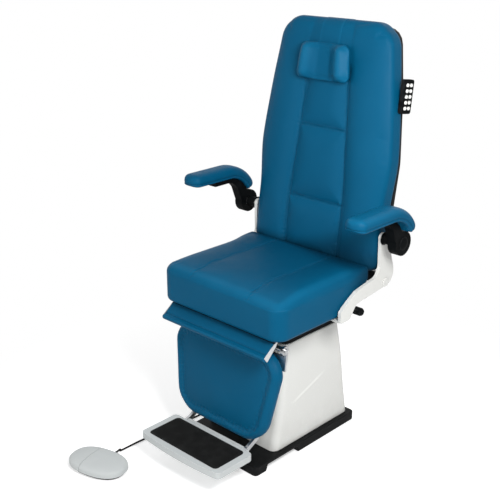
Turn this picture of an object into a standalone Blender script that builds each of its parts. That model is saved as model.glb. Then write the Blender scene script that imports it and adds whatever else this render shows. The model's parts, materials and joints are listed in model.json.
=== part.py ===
"""Powered examination chair with a lifting seat, reclining back, raising leg rest and folding footplate.

Metres, +Z up. The chair faces -Y, and +X is the sitter's left. The origin is on the floor, on the
axis of the lift column. Every sub-part is one named object; a moving sub-part hangs from an empty
that stands on its joint's axis.
"""
import math

import bmesh
import bpy
from mathutils import Matrix, Vector

# Clearances and facets
GAP = 0.0003
RUN = 0.003
TURNED_SIDES = 24
SMALL_SIDES = 12
CORNER_STEPS = 4

# Base plate
PLATE_HALF_W = 0.181
PLATE_FRONT = 0.296
PLATE_REAR = 0.227
PLATE_T = 0.033
PLATE_CORNER_R = 0.014
FOOT_BAR_L = 0.052
ARCH_L = 0.162
ARCH_H = 0.022
ARCH_SLOPE = 0.008

# White base cover and the black collar on its rim
COVER_LEDGE = 0.018
COVER_REAR_LEDGE = 0.012
COVER_FRONT = 0.187
COVER_H = 0.373
COVER_WALL = 0.004
COVER_SIDE_DRAFT = 0.013
COVER_FRONT_DRAFT = 0.067
COVER_REAR_DRAFT = 0.053
COVER_FOOT_R = 0.022
COVER_TOP_R = 0.022
COLLAR_H = 0.028
COLLAR_INSET = 0.002
COLLAR_W = 0.014

# Lift column, lift actuator and control box
COLUMN_R = 0.060
COLUMN_WALL = 0.010
COLUMN_H = 0.325
FLANGE_R = 0.076
FLANGE_T = 0.012
MAST_WALL = 0.007
MAST_FLOAT = 0.045
MAST_CAP_R = 0.070
MAST_CAP_T = 0.010
JACK_BLOCK = 0.060
JACK_BLOCK_H = 0.090
JACK_R = 0.020
JACK_H = 0.290
JACK_ROD_R = 0.012
JACK_ROD_FLOAT = 0.050
JACK_HEAD_R = 0.018
JACK_HEAD_T = 0.012
CONTROL_W = 0.160
CONTROL_D = 0.066
CONTROL_H = 0.085
CONTROL_RIBS = 7
LIFT_TRAVEL = 0.200

# Shroud that rises out of the cover with the seat
SHROUD_WALL = 0.003
SHROUD_R = 0.022
SHROUD_OVERLAP = 0.006
CARRIAGE_LIFT = 0.023

# Mains inlet and foot-switch cord gland
INLET_X = 0.060
INLET_Z = 0.090
INLET_W = 0.028
INLET_H = 0.020
INLET_DEPTH = 0.020
INLET_RIM = 0.010
INLET_RIM_T = 0.004
INLET_WALL = 0.003
GLAND_X = -0.090
GLAND_SPIGOT_R = 0.0075
GLAND_SPIGOT_L = 0.012
GLAND_NUT_R = 0.0125
GLAND_NUT_T = 0.008
GLAND_DOME_R = 0.0085
GLAND_DOME_L = 0.012

# Seat tray of the carriage
TRAY_HALF_W = 0.150
TRAY_FLANGE = 0.020
TRAY_H = 0.0455
TRAY_T = 0.004
TRAY_FRONT = 0.160
TRAY_REAR = 0.150
EAR_T = 0.006
EAR_REAR = 0.150

# Seat cushion
SEAT_HALF_W = 0.265
SEAT_FRONT = 0.290
SEAT_REAR = 0.160
SEAT_T = 0.140
SEAT_CORNER_R = 0.042
SEAT_EDGE_R = 0.034
SEAT_CROWN = 0.008
SEAT_DRAW_IN = 0.004
SEAT_PANEL_HALF_W = 0.125
CHANNEL_DEPTH = 0.004
CHANNEL_W = 0.007

# Side brackets with the back hinge and the arm pivots
BRACKET_X = 0.276
BRACKET_T = 0.012
BRACKET_TOE = 0.012
BRACKET_HEEL = 0.036
BRACKET_TOE_H = 0.040
BRACKET_FLANGE_T = 0.006
BRACKET_FILLET = 0.020
BOSS_R = 0.017
BOSS_L = 0.054
SPINDLE_R = 0.011
SPINDLE_L = 0.028
HINGE_PIN_R = 0.010
HINGE_HEAD_R = 0.016
HINGE_HEAD_T = 0.004

# Back rest
BACK_HINGE_Y = 0.225
BACK_HINGE_UP = 0.0669
BACK_TILT = math.radians(7.5)
BACK_RECLINE = math.radians(70.0)
BACK_BOTTOM = 0.045
BACK_TOP = 0.846
BACK_FRONT = 0.068
BACK_REAR = -0.015
BACK_ROOT_GAP = 0.004
BACK_ROOT_TOP = 0.235
BACK_WAIST_HALF_W = 0.282
BACK_WAIST_TOP = 0.400
BACK_HEAD_HALF_W = 0.223
BACK_CORNER_R = 0.066
BACK_EDGE_R = 0.025
BACK_CROWN = 0.007
BACK_DRAW_IN = 0.003
BACK_PANEL_HALF_LOW = 0.120
BACK_PANEL_HALF_HIGH = 0.100
BACK_SEAM_LOW = 0.232
BACK_SEAM_HIGH = 0.485
FRAME_T = 0.004
FRAME_HALF_W = 0.180
FRAME_BELOW_TOP = 0.146
BAR_H = 0.040
BAR_D = 0.022
LUG_R = 0.020
LUG_T = 0.012
LUG_SIDE_GAP = 0.008
SHELL_T = 0.010
SHELL_INSET = 0.014
SHELL_BOTTOM = 0.030
SHELL_FOOT_R = 0.030
SHELL_SIDE_R = 0.300

# Back actuator and slotted crank
BACK_ROD_X = 0.060
ROD_Z_IN_TRAY = 0.022
ROD_R = 0.008
ACTUATOR_HALF = 0.0170
MOTOR_HALF_W = 0.026
MOTOR_L = 0.060
BACK_ACTUATOR_FRONT = 0.140
BACK_ACTUATOR_REAR = 0.085
CROSS_PIN_R = 0.006
CROSS_PIN_L = 0.036
CRANK_T = 0.012
CRANK_WALL = 0.009
CRANK_SLACK = 0.0034
CRANK_TIP = 0.0045

# Head pillow and its strap
PILLOW_BELOW_TOP = 0.143
PILLOW_H = 0.122
PILLOW_HALF_W_LOW = 0.113
PILLOW_HALF_W_HIGH = 0.100
PILLOW_T = 0.050
PILLOW_EDGE_R = 0.026
PILLOW_DIP = 0.020
PILLOW_DOWN = 0.060
PILLOW_UP = 0.040
STRAP_HALF_W = 0.043
STRAP_T = 0.002
STRAP_HANG = 0.054
STRAP_TAIL = 0.080

# Keypad on the back's side
KEYPAD_BELOW_TOP = 0.224
KEYPAD_H = 0.110
KEYPAD_FRONT = 0.027
KEYPAD_W = 0.050
KEYPAD_T = 0.015
KEYPAD_CORNER_R = 0.008
KEYPAD_SIDE_GAP = 0.002
KEYPAD_TAB_W = 0.050
KEYPAD_TAB_T = 0.004
BUTTON_ROWS = 5
BUTTON_PITCH_V = 0.0185
BUTTON_PITCH_W = 0.0200
BUTTON_HALF_V = 0.0058
BUTTON_HALF_W = 0.0076
BUTTON_PROUD = 0.0022
BUTTON_SKIRT = 0.0035
BUTTON_TRAVEL = 0.0015

# Leg rest
LEG_HINGE_Y = -0.215
LEG_HINGE_UNDER = 0.0531
LEG_TILT = math.radians(8.3)
LEG_RAISE = math.radians(80.0)
LEG_TOP = 0.016
LEG_BOTTOM = 0.340
LEG_FRONT = 0.033
LEG_REAR = -0.006
LEG_HALF_W_TOP = 0.240
LEG_HALF_W_LOW = 0.197
LEG_TAPER_FROM = 0.090
LEG_CORNER_R = 0.060
LEG_EDGE_R = 0.019
LEG_CROWN = 0.004
LEG_DRAW_IN = 0.002
LEG_PLATE_T = 0.008
LEG_PLATE_HALF_W = 0.170
LEG_PLATE_TOP = 0.024
LEG_PLATE_BOTTOM = 0.325
LEG_LUG_X = 0.222
LEG_LUG_T = 0.010
LEG_LUG_R = 0.0145
LEG_SHAFT_R = 0.008
LEG_SHAFT_OVER = 0.006
LEG_ROD_X = -0.060
LEG_ACTUATOR_FRONT = 0.135
LEG_ACTUATOR_REAR = 0.060

# Knee flap under the seat's front edge
FLAP_HINGE_Y = -0.262
FLAP_TILT = math.radians(36.7)
FLAP_RAISE = math.radians(45.0)
FLAP_L = 0.071
FLAP_HALF_W = 0.236
FLAP_TOP = 0.006
FLAP_T_ROOT = 0.010
FLAP_T_TIP = 0.020
FLAP_BARREL_R = 0.004
FLAP_PLATE_T = 0.002
FLAP_CHEEK_T = 0.002
FLAP_START = 0.008
FLAP_LIP_R = 0.006

# Footplate
FOOT_HINGE_DOWN = 0.3705
FOOT_HINGE_OUT = 0.032
FOOT_FOLD = math.radians(70.0)
FOOT_HALF_W = 0.185
FOOT_L = 0.158
FOOT_BOW = 0.012
FOOT_T = 0.023
FOOT_RISE = 0.012
FOOT_SETBACK = 0.014
FOOT_CORNER_R = 0.014
FOOT_BORDER = 0.024
FOOT_RECESS = 0.006
MAT_T = 0.009
MAT_RIBS = 9
RIB_H = 0.002
FOOT_LUG_X = 0.140
FOOT_LUG_T = 0.010
FOOT_LUG_R = 0.011
FOOT_LUG_HALF = 0.008
KNUCKLE_R = 0.008
KNUCKLE_PIN_R = 0.005

# Arm rests
ARM_PIVOT_Y = 0.207
ARM_PIVOT_UP = 0.2289
ARM_FLIP = math.radians(95.0)
ARM_BEND_AHEAD = 0.102
ARM_BEND_R = 0.101
ARM_TIP_WIDTH = 0.60
ARM_TAIL_L = 0.0075
ARM_TAIL_SINK = 0.25
ARM_STRAIGHT = 0.147
ARM_PAD_T = 0.045
ARM_PAD_HALF_W = 0.040
ARM_PAD_OUT = 0.031
ARM_PAD_TIP_R = 0.030
ARM_STRIP_T = 0.013
ARM_STRIP_SHORT = 0.060
ARM_HUB_R = 0.042
ARM_HUB_L = 0.034
ARM_NECK = 0.062
ARM_FILLET = 0.030
ARM_SOLE_SHARE = 0.86
ARM_DOME_FROM = 0.25
ARM_DOME_STEPS = 8

# Release lever
LEVER_Y = 0.125
LEVER_PIVOT_OUT = 0.014
LEVER_SWING = math.radians(20.0)
LEVER_BLOCK_D = 0.026
LEVER_BLOCK_T = 0.012
LEVER_BLOCK_DROP = 0.022
LEVER_PIN_R = 0.004
LEVER_EYE_R = 0.010
LEVER_EYE_T = 0.007
LEVER_ROD_R = 0.0045
LEVER_L = 0.100
KNOB_L = 0.062
KNOB_R = 0.014
KNOB_NECK_R = 0.009

# Foot switch
SWITCH_X = -0.241
SWITCH_Y = -0.615
SWITCH_TURN = math.radians(14.0)
SWITCH_HALF_L = 0.107
SWITCH_HALF_W = 0.068
SWITCH_H = 0.040
SWITCH_POWER = 2.4
SWITCH_DOME_POWER = 5.0
SWITCH_DOME_RINGS = 6
SWITCH_SKIRT = 0.010
SWITCH_WALL = 0.003
SOLE_INSET = 0.008
SOLE_T = 0.009
SPLIT_X = -0.030
SPLIT_HALF_GAP = 0.0008
RIDGE_HALF_W = 0.012
RIDGE_HALF_L = 0.030
RIDGE_H = 0.020
PEDAL_BOSS_W = 0.022
PEDAL_PRESS = math.radians(4.0)

# Foot-switch cord
CORD_R = 0.00325
CORD_STEP = 0.0195
RELIEF_X = 0.002
RELIEF_L = 0.034
RELIEF_ROOT_R = 0.0052
RELIEF_TIP_R = 0.0042
RELIEF_NOTCH = 0.0045
CORD_ROUTE = [
    (-0.263, -0.500, 0.0034), (-0.262, -0.420, 0.0034), (-0.254, -0.320, 0.0034),
    (-0.243, -0.200, 0.0034), (-0.238, -0.080, 0.0034), (-0.240, 0.040, 0.0034),
    (-0.243, 0.150, 0.0034), (-0.238, 0.240, 0.0034), (-0.218, 0.312, 0.0034),
    (-0.180, 0.352, 0.0034), (-0.136, 0.354, 0.0040), (-0.104, 0.326, 0.0080),
    (-0.092, 0.290, 0.0140),
]

# Levels and axes that follow from the sizes above
COVER_FOOT_Z = PLATE_T + GAP
COVER_TOP_Z = COVER_FOOT_Z + COVER_H
COLLAR_Z = COVER_TOP_Z + GAP
COLLAR_TOP_Z = COLLAR_Z + COLLAR_H
TRAY_Z = COLLAR_TOP_Z + CARRIAGE_LIFT
TRAY_TOP_Z = TRAY_Z + TRAY_H
SEAT_Z = TRAY_TOP_Z + GAP
BACK_HINGE_Z = TRAY_TOP_Z + BACK_HINGE_UP
LEG_HINGE_Z = TRAY_TOP_Z - LEG_HINGE_UNDER
ARM_PIVOT_Z = TRAY_TOP_Z + ARM_PIVOT_UP
ROD_Z = TRAY_Z + ROD_Z_IN_TRAY
COVER_FOOT_HALF_W = PLATE_HALF_W - COVER_LEDGE
COVER_FOOT_REAR = PLATE_REAR - COVER_REAR_LEDGE
COVER_TOP_HALF_W = COVER_FOOT_HALF_W - COVER_SIDE_DRAFT
COVER_TOP_FRONT = COVER_FRONT - COVER_FRONT_DRAFT
COVER_TOP_REAR = COVER_FOOT_REAR - COVER_REAR_DRAFT
SHROUD_HALF_W = COVER_TOP_HALF_W - COLLAR_INSET - COLLAR_W - RUN
SHROUD_FRONT = COVER_TOP_FRONT - COLLAR_INSET - COLLAR_W - RUN
SHROUD_REAR = COVER_TOP_REAR - COLLAR_INSET - COLLAR_W - RUN
JACK_Y = FLANGE_R + JACK_BLOCK / 2 + RUN
BRACKET_OUT = BRACKET_X + BRACKET_T
ARM_HUB_X = BRACKET_X + BOSS_L + GAP
ARM_X = ARM_HUB_X + ARM_PAD_OUT
ARM_TAIL_R = ARM_BEND_R + ARM_PAD_T * ARM_TAIL_SINK / 2
ARM_TAIL_SQUARES = ARM_TAIL_R ** 2 + ARM_BEND_AHEAD ** 2 - (ARM_HUB_R + RUN) ** 2
ARM_TAIL_COS = ARM_TAIL_SQUARES / (2 * ARM_TAIL_R * ARM_BEND_AHEAD)
ARM_BEND_TO = math.acos(ARM_TAIL_COS) + ARM_TAIL_L / ARM_TAIL_R
FLAP_HINGE_Z = TRAY_TOP_Z - TRAY_T - GAP - FLAP_BARREL_R
LIP_FRONT = -FLAP_HINGE_Y
PILLOW_MID = BACK_TOP - PILLOW_BELOW_TOP
STRAP_LOW = PILLOW_MID - STRAP_HANG
KEYPAD_MID = BACK_TOP - KEYPAD_BELOW_TOP
FRAME_TOP = BACK_TOP - FRAME_BELOW_TOP
BACK_DROP = BACK_HINGE_Z - ROD_Z
BACK_THROW = BACK_DROP * math.tan(BACK_RECLINE / 2)
LEG_DROP = ROD_Z - LEG_HINGE_Z
LEG_THROW = LEG_DROP * math.tan(LEG_RAISE / 2)

# Pivots: the point of each moving group's joint, and the group that carries it
PIVOTS = {
    "base": (Vector((0, 0, 0)), None),
    "carriage": (Vector((0, 0, TRAY_Z)), "base"),
    "back": (Vector((0, BACK_HINGE_Y, BACK_HINGE_Z)), "carriage"),
    "back_rod": (Vector((BACK_ROD_X, BACK_HINGE_Y + BACK_THROW, ROD_Z)), "carriage"),
    "leg": (Vector((0, LEG_HINGE_Y, LEG_HINGE_Z)), "carriage"),
    "leg_rod": (Vector((LEG_ROD_X, LEG_HINGE_Y - LEG_THROW, ROD_Z)), "carriage"),
    "flap": (Vector((0, FLAP_HINGE_Y, FLAP_HINGE_Z)), "carriage"),
    "arm_left": (Vector((ARM_X, ARM_PIVOT_Y, ARM_PIVOT_Z)), "carriage"),
    "arm_right": (Vector((-ARM_X, ARM_PIVOT_Y, ARM_PIVOT_Z)), "carriage"),
}
PIVOT_EMPTIES = {}


def clear_scene():
    """Remove every object of the open scene."""
    for obj in list(bpy.data.objects):
        bpy.data.objects.remove(obj)


def finish(name, colour, roughness, metallic=0.0):
    """Return a Principled material of one colour."""
    material = bpy.data.materials.new(name)
    material.use_nodes = True
    shader = material.node_tree.nodes["Principled BSDF"]
    shader.inputs["Base Color"].default_value = (*colour, 1.0)
    shader.inputs["Roughness"].default_value = roughness
    shader.inputs["Metallic"].default_value = metallic
    material.diffuse_color = (*colour, 1.0)
    return material


def finishes():
    """Return the chair's materials by name."""
    return {
        "vinyl": finish("petrol_blue_vinyl", (0.012, 0.170, 0.330), 0.45),
        "white": finish("white_cover", (0.860, 0.850, 0.820), 0.30),
        "black": finish("black_plastic", (0.012, 0.012, 0.013), 0.50),
        "steel": finish("zinc_steel", (0.560, 0.570, 0.580), 0.35, 1.0),
        "dark_steel": finish("black_steel", (0.030, 0.030, 0.032), 0.45, 0.6),
        "grey": finish("pale_grey_plastic", (0.640, 0.660, 0.680), 0.40),
        "rubber": finish("black_rubber", (0.010, 0.010, 0.010), 0.80),
        "button": finish("white_button", (0.880, 0.880, 0.860), 0.35),
    }


def add_pivot(name):
    """Place the empty that a moving group hangs from, on its joint's axis."""
    at, carrier = PIVOTS[name]
    empty = bpy.data.objects.new(name + "_pivot", None)
    empty.empty_display_size = 0.03
    bpy.context.scene.collection.objects.link(empty)
    empty.location = at
    if carrier is not None:
        empty.parent = PIVOT_EMPTIES[carrier]
        empty.location = at - PIVOTS[carrier][0]
    PIVOT_EMPTIES[name] = empty


def add_mesh(name, bm, group):
    """Turn a bmesh made in world space into an object under its group's pivot."""
    mesh = bpy.data.meshes.new(name)
    bm.to_mesh(mesh)
    bm.free()
    mesh.transform(Matrix.Translation(-PIVOTS[group][0]))
    obj = bpy.data.objects.new(name, mesh)
    bpy.context.scene.collection.objects.link(obj)
    obj.parent = PIVOT_EMPTIES[group]
    return obj


def add_piece(name, bm, material, group="base", plus=(), minus=(), trim=(), late=()):
    """Make one sub-part: solids are fused to it, cut from it, kept in common, then fused last."""
    obj = add_mesh(name, bm, group)
    obj.data.materials.append(material)
    obj.data.shade_smooth()
    obj.data.set_sharp_from_angle(angle=math.radians(35.0))
    kinds = (("UNION", plus), ("DIFFERENCE", minus), ("INTERSECT", trim), ("UNION", late))
    steps = [(operation, tool) for operation, tools in kinds for tool in tools]
    for number, (operation, tool) in enumerate(steps):
        cutter = add_mesh("%s_tool_%d" % (name, number), tool, group)
        cutter.hide_render = True
        cutter.display_type = "WIRE"
        modifier = obj.modifiers.new("%s_%d" % (operation.lower(), number), "BOOLEAN")
        modifier.operation = operation
        modifier.object = cutter
    return obj


def loft(rings, closed=False):
    """Skin a row of equal rings; the ends are capped, or the last ring joins the first."""
    bm = bmesh.new()
    rows = [[bm.verts.new(point) for point in ring] for ring in rings]
    pairs = list(zip(rows, rows[1:]))
    if closed:
        pairs.append((rows[-1], rows[0]))
    for low, high in pairs:
        for i in range(len(low)):
            j = (i + 1) % len(low)
            bm.faces.new((low[i], low[j], high[j], high[i]))
    if not closed:
        bm.faces.new(rows[0][::-1])
        bm.faces.new(rows[-1])
    bmesh.ops.recalc_face_normals(bm, faces=bm.faces)
    return bm


def along_x(level, a, b):
    """Place an outline given as (y, z) at one x."""
    return Vector((level, a, b))


def along_y(level, a, b):
    """Place an outline given as (x, z) at one y."""
    return Vector((a, level, b))


def along_z(level, a, b):
    """Place an outline given as (x, y) at one z."""
    return Vector((a, b, level))


def prism(outline, low, high, place):
    """Closed prism of a flat outline between two levels."""
    return loft([[place(level, a, b) for a, b in outline] for level in (low, high)])


def box(low, high):
    """Closed box between two corners."""
    outline = [(low[0], low[1]), (high[0], low[1]), (high[0], high[1]), (low[0], high[1])]
    return prism(outline, low[2], high[2], along_z)


def arc(centre, radius, start, end, steps):
    """Points of a circular arc in a plane, ends included."""
    points = []
    for i in range(steps + 1):
        angle = start + (end - start) * i / steps
        points.append((centre[0] + radius * math.cos(angle), centre[1] + radius * math.sin(angle)))
    return points


def circle(centre, radius, sides):
    """Points of a whole circle in a plane."""
    return arc(centre, radius, 0.0, math.tau * (sides - 1) / sides, sides - 1)


def rounded_rect(low, high, radius, steps=CORNER_STEPS):
    """Rectangle between two plane corners, with round corners."""
    (x0, y0), (x1, y1) = low, high
    r = min(radius, 0.49 * (x1 - x0), 0.49 * (y1 - y0))
    quarter = math.pi / 2
    centres = [(x1 - r, y1 - r), (x0 + r, y1 - r), (x0 + r, y0 + r), (x1 - r, y0 + r)]
    points = []
    for i, centre in enumerate(centres):
        points += arc(centre, r, quarter * i, quarter * (i + 1), steps)
    return points


def filleted(corners, steps=CORNER_STEPS):
    """Outline through (a, b, fillet radius) corners, each rounded by an arc."""
    points = []
    count = len(corners)
    for i in range(count):
        here = Vector(corners[i][:2])
        before = Vector(corners[i - 1][:2]) - here
        after = Vector(corners[(i + 1) % count][:2]) - here
        radius = corners[i][2]
        half_angle = before.angle(after) / 2
        if radius <= 0 or math.pi / 2 - half_angle < 0.01:
            points.append(tuple(here))
            continue
        reach = min(radius / math.tan(half_angle), 0.48 * before.length, 0.48 * after.length)
        r = reach * math.tan(half_angle)
        bisector = (before.normalized() + after.normalized()).normalized()
        centre = here + bisector * (r / math.sin(half_angle))
        first = here + before.normalized() * reach - centre
        last = here + after.normalized() * reach - centre
        sweep = first.angle_signed(last)
        start = math.atan2(first.y, first.x)
        points += arc(centre, r, start, start - sweep, steps)
    return points


def turned(profile, centre, axis="Z", sides=TURNED_SIDES, closed=False):
    """Turn a profile of (radius, height) about an axis through centre."""
    rings = []
    for radius, height in profile:
        ring = []
        for a, b in circle((0.0, 0.0), radius, sides):
            offsets = {"X": (height, a, b), "Y": (b, height, a), "Z": (a, b, height)}
            ring.append(Vector(centre) + Vector(offsets[axis]))
        rings.append(ring)
    return loft(rings, closed)


def rod(start, length, radius, axis, sides=SMALL_SIDES):
    """Plain round bar along one axis from its start point."""
    return turned([(radius, 0.0), (radius, length)], start, axis, sides)


def bore_r(radius, sides=SMALL_SIDES):
    """Radius of a faceted bore whose flats clear a round pin that turns in it."""
    return (radius + GAP) / math.cos(math.pi / sides)


def box_shell(us, vs, ws, place):
    """Skin a box of grid lines, with each grid point moved by place(u, v, w)."""
    bm = bmesh.new()
    verts = {}
    counts = (len(us) - 1, len(vs) - 1, len(ws) - 1)

    def vert(key):
        if key not in verts:
            verts[key] = bm.verts.new(place(us[key[0]], vs[key[1]], ws[key[2]]))
        return verts[key]

    for axis in range(3):
        first, second = [other for other in range(3) if other != axis]
        for level in (0, counts[axis]):
            for i in range(counts[first]):
                for j in range(counts[second]):
                    face = []
                    for di, dj in ((0, 0), (1, 0), (1, 1), (0, 1)):
                        key = [level, level, level]
                        key[first] = i + di
                        key[second] = j + dj
                        face.append(vert(tuple(key)))
                    bm.faces.new(face)
    bmesh.ops.recalc_face_normals(bm, faces=bm.faces)
    return bm


class Pad:
    """Upholstered slab with a round-cornered outline, rolled edges, a crown and sewn channels.

    Its own directions are u across, v along and w through; the crowned face is the one at high w.
    """

    HALF_TURN = math.tan(math.pi / 8)

    def __init__(self, half_width, ends, faces, corner_r, edge_r, crown, draw_in, to_world):
        self.half_width = half_width
        self.low, self.high = ends
        self.back, self.front = faces
        self.corner_r = corner_r
        self.edge_r = edge_r
        self.crown = crown
        self.draw_in = draw_in
        self.to_world = to_world
        self.channels = []
        self.swell = None

    def roll_lines(self, radii):
        """Distances from the outline at which the mesh needs a line to show its rounds."""
        lines = {0.0}
        for radius in radii:
            lines |= {radius, radius * (1 - self.HALF_TURN)}
        return sorted(lines)

    def across(self, extra=()):
        """Grid lines across the pad, as shares of its half width."""
        half = self.half_width((self.low + self.high) / 2)
        sides = [1 - d / half for d in self.roll_lines((self.corner_r, self.edge_r))]
        shares = set(sides) | {-s for s in sides} | {0.0}
        for share in extra:
            shares |= {share, -share}
        return sorted(shares)

    def along(self, extra=()):
        """Grid lines along the pad."""
        ends = self.roll_lines((self.corner_r, self.edge_r))
        return sorted({self.low + d for d in ends} | {self.high - d for d in ends} | set(extra))

    def through(self):
        """Grid lines through the pad's thickness."""
        edges = self.roll_lines((self.edge_r,))
        return sorted({self.back + d for d in edges} | {self.front - d for d in edges})

    def local(self, share, v, w):
        """Pad coordinates of a grid point, after rounding, swelling and sewing."""
        half = self.half_width(v)
        mid, reach = (self.low + self.high) / 2, (self.high - self.low) / 2
        middle, thick = (self.back + self.front) / 2, (self.front - self.back) / 2
        u, along = abs(share) * half, abs(v - mid)
        out_u, out_v = u - half, along - reach
        out = max(out_u, out_v)
        depth = abs(w - middle) - thick
        side, face = out + self.edge_r, depth + self.edge_r
        if side > 0 and face > 0:
            pull = max(side, face) / math.hypot(side, face)
            out = side * pull - self.edge_r
            depth = face * pull - self.edge_r
        corner_u, corner_v = out_u + self.corner_r, out_v + self.corner_r
        if corner_u > 0 and corner_v > 0:
            size = math.hypot(corner_u, corner_v)
            u = half - self.corner_r + corner_u / size * (self.corner_r + out)
            along = reach - self.corner_r + corner_v / size * (self.corner_r + out)
        elif out_u >= out_v:
            u = half + out
        else:
            along = reach + out
        u_share, v_share = min(u / half, 1.0), min(along / reach, 1.0)
        u -= self.draw_in * (1 - v_share ** 2) * u_share ** 6
        along -= self.draw_in * (1 - u_share ** 2) * v_share ** 6
        u = math.copysign(u, share)
        v = mid + math.copysign(along, v - mid)
        on_front = w > middle
        w = middle + math.copysign(thick + depth, w - middle)
        if on_front and depth > -self.edge_r / 2:
            w += self.crown * (1 - u_share ** 2) * (1 - v_share ** 8)
            w -= sum(channel(u, v) for channel in self.channels)
            if self.swell is not None:
                w += self.swell(u_share, v_share)
        return u, v, w

    def point(self, share, v, w):
        """World position of a grid point."""
        return self.to_world(*self.local(share, v, w))

    def mesh(self, across=(), along=()):
        """Closed mesh of the pad, with grid lines added at its channels."""
        return box_shell(self.across(across), self.along(along), self.through(), self.point)


def groove(distance):
    """Depth of a sewn channel at a distance from its line."""
    return CHANNEL_DEPTH * math.exp(-((distance / CHANNEL_W) ** 2))


def beside(line, spread=CHANNEL_W):
    """Grid lines on and beside a channel."""
    return (line - spread, line, line + spread)


def back_point(u, v, w):
    """World point of back coordinates: u across, v up the back, w out of its front."""
    y = BACK_HINGE_Y + v * math.sin(BACK_TILT) - w * math.cos(BACK_TILT)
    z = BACK_HINGE_Z + v * math.cos(BACK_TILT) + w * math.sin(BACK_TILT)
    return Vector((u, y, z))


def leg_point(u, s, n):
    """World point of leg coordinates: u across, s down the leg, n out of its front."""
    y = LEG_HINGE_Y - s * math.sin(LEG_TILT) - n * math.cos(LEG_TILT)
    z = LEG_HINGE_Z - s * math.cos(LEG_TILT) + n * math.sin(LEG_TILT)
    return Vector((u, y, z))


def flap_point(u, s, n):
    """World point of flap coordinates: u across, s out from its hinge, n up from its face."""
    y = FLAP_HINGE_Y - s * math.cos(FLAP_TILT) - n * math.sin(FLAP_TILT)
    z = FLAP_HINGE_Z - s * math.sin(FLAP_TILT) + n * math.cos(FLAP_TILT)
    return Vector((u, y, z))


def switch_point(x, y, z):
    """World point of foot-switch coordinates: x along its length, y towards its cord."""
    c, s = math.cos(SWITCH_TURN), math.sin(SWITCH_TURN)
    return Vector((SWITCH_X + x * c - y * s, SWITCH_Y + x * s + y * c, z))


def cover_outline(height, inset):
    """Plan of the base cover at a share of its height, drawn in by a wall."""
    half = COVER_FOOT_HALF_W - COVER_SIDE_DRAFT * height - inset
    front = COVER_FRONT - COVER_FRONT_DRAFT * height - inset
    rear = COVER_FOOT_REAR - COVER_REAR_DRAFT * height - inset
    radius = COVER_FOOT_R + (COVER_TOP_R - COVER_FOOT_R) * height - inset
    return rounded_rect((-half, -front), (half, rear), radius)


def ring_wall(outer_low, outer_high, inner_high, inner_low, low, high):
    """Open tube of four outlines: outside up, inside down."""
    levels = ((outer_low, low), (outer_high, high), (inner_high, high), (inner_low, low))
    return loft([[along_z(z, a, b) for a, b in outline] for outline, z in levels], closed=True)


def build_base_plate(mats):
    """Black plate with a front foot bar and an arch behind it; the cord gland enters its rear edge."""
    arch_front = -PLATE_FRONT + FOOT_BAR_L
    arch_rear = arch_front + ARCH_L
    outline = [
        (PLATE_REAR, 0.0), (PLATE_REAR, PLATE_T), (-PLATE_FRONT, PLATE_T), (-PLATE_FRONT, 0.0),
        (arch_front, 0.0), (arch_front + ARCH_SLOPE, ARCH_H),
        (arch_rear - ARCH_SLOPE, ARCH_H), (arch_rear, 0.0),
    ]
    bm = prism(outline, -PLATE_HALF_W, PLATE_HALF_W, along_x)
    ends = (-PLATE_FRONT, PLATE_REAR)
    uprights = []
    for edge in bm.edges:
        a, b = edge.verts[0].co, edge.verts[1].co
        at_end = any(abs(a.y - end) < GAP for end in ends)
        if at_end and abs(a.x - b.x) < GAP and abs(a.y - b.y) < GAP:
            uprights.append(edge)
    bmesh.ops.bevel(
        bm, geom=uprights, offset=PLATE_CORNER_R, segments=CORNER_STEPS, affect="EDGES", profile=0.5
    )
    start = (GLAND_X, PLATE_REAR - GLAND_SPIGOT_L - RUN, PLATE_T / 2)
    hole = rod(start, GLAND_SPIGOT_L + 2 * RUN, GLAND_SPIGOT_R + GAP, "Y")
    add_piece("base_plate", bm, mats["black"], minus=[hole])


def inlet_frame():
    """Return a function that places points on the cover's leaning rear wall, out along its normal."""
    lean = math.atan2(COVER_REAR_DRAFT, COVER_H)
    wall_y = COVER_FOOT_REAR - COVER_REAR_DRAFT * (INLET_Z - COVER_FOOT_Z) / COVER_H

    def place(out, x, up):
        y = wall_y - up * math.sin(lean) + out * math.cos(lean)
        return Vector((INLET_X + x, y, INLET_Z + up * math.cos(lean) + out * math.sin(lean)))

    return place


def centred(width, height, radius=0.0):
    """Rectangle about the plane's origin, with round corners if a radius is given."""
    corners = ((-width / 2, -height / 2), (width / 2, height / 2))
    if radius > 0:
        return rounded_rect(*corners, radius)
    (x0, y0), (x1, y1) = corners
    return [(x0, y0), (x1, y0), (x1, y1), (x0, y1)]


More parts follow.
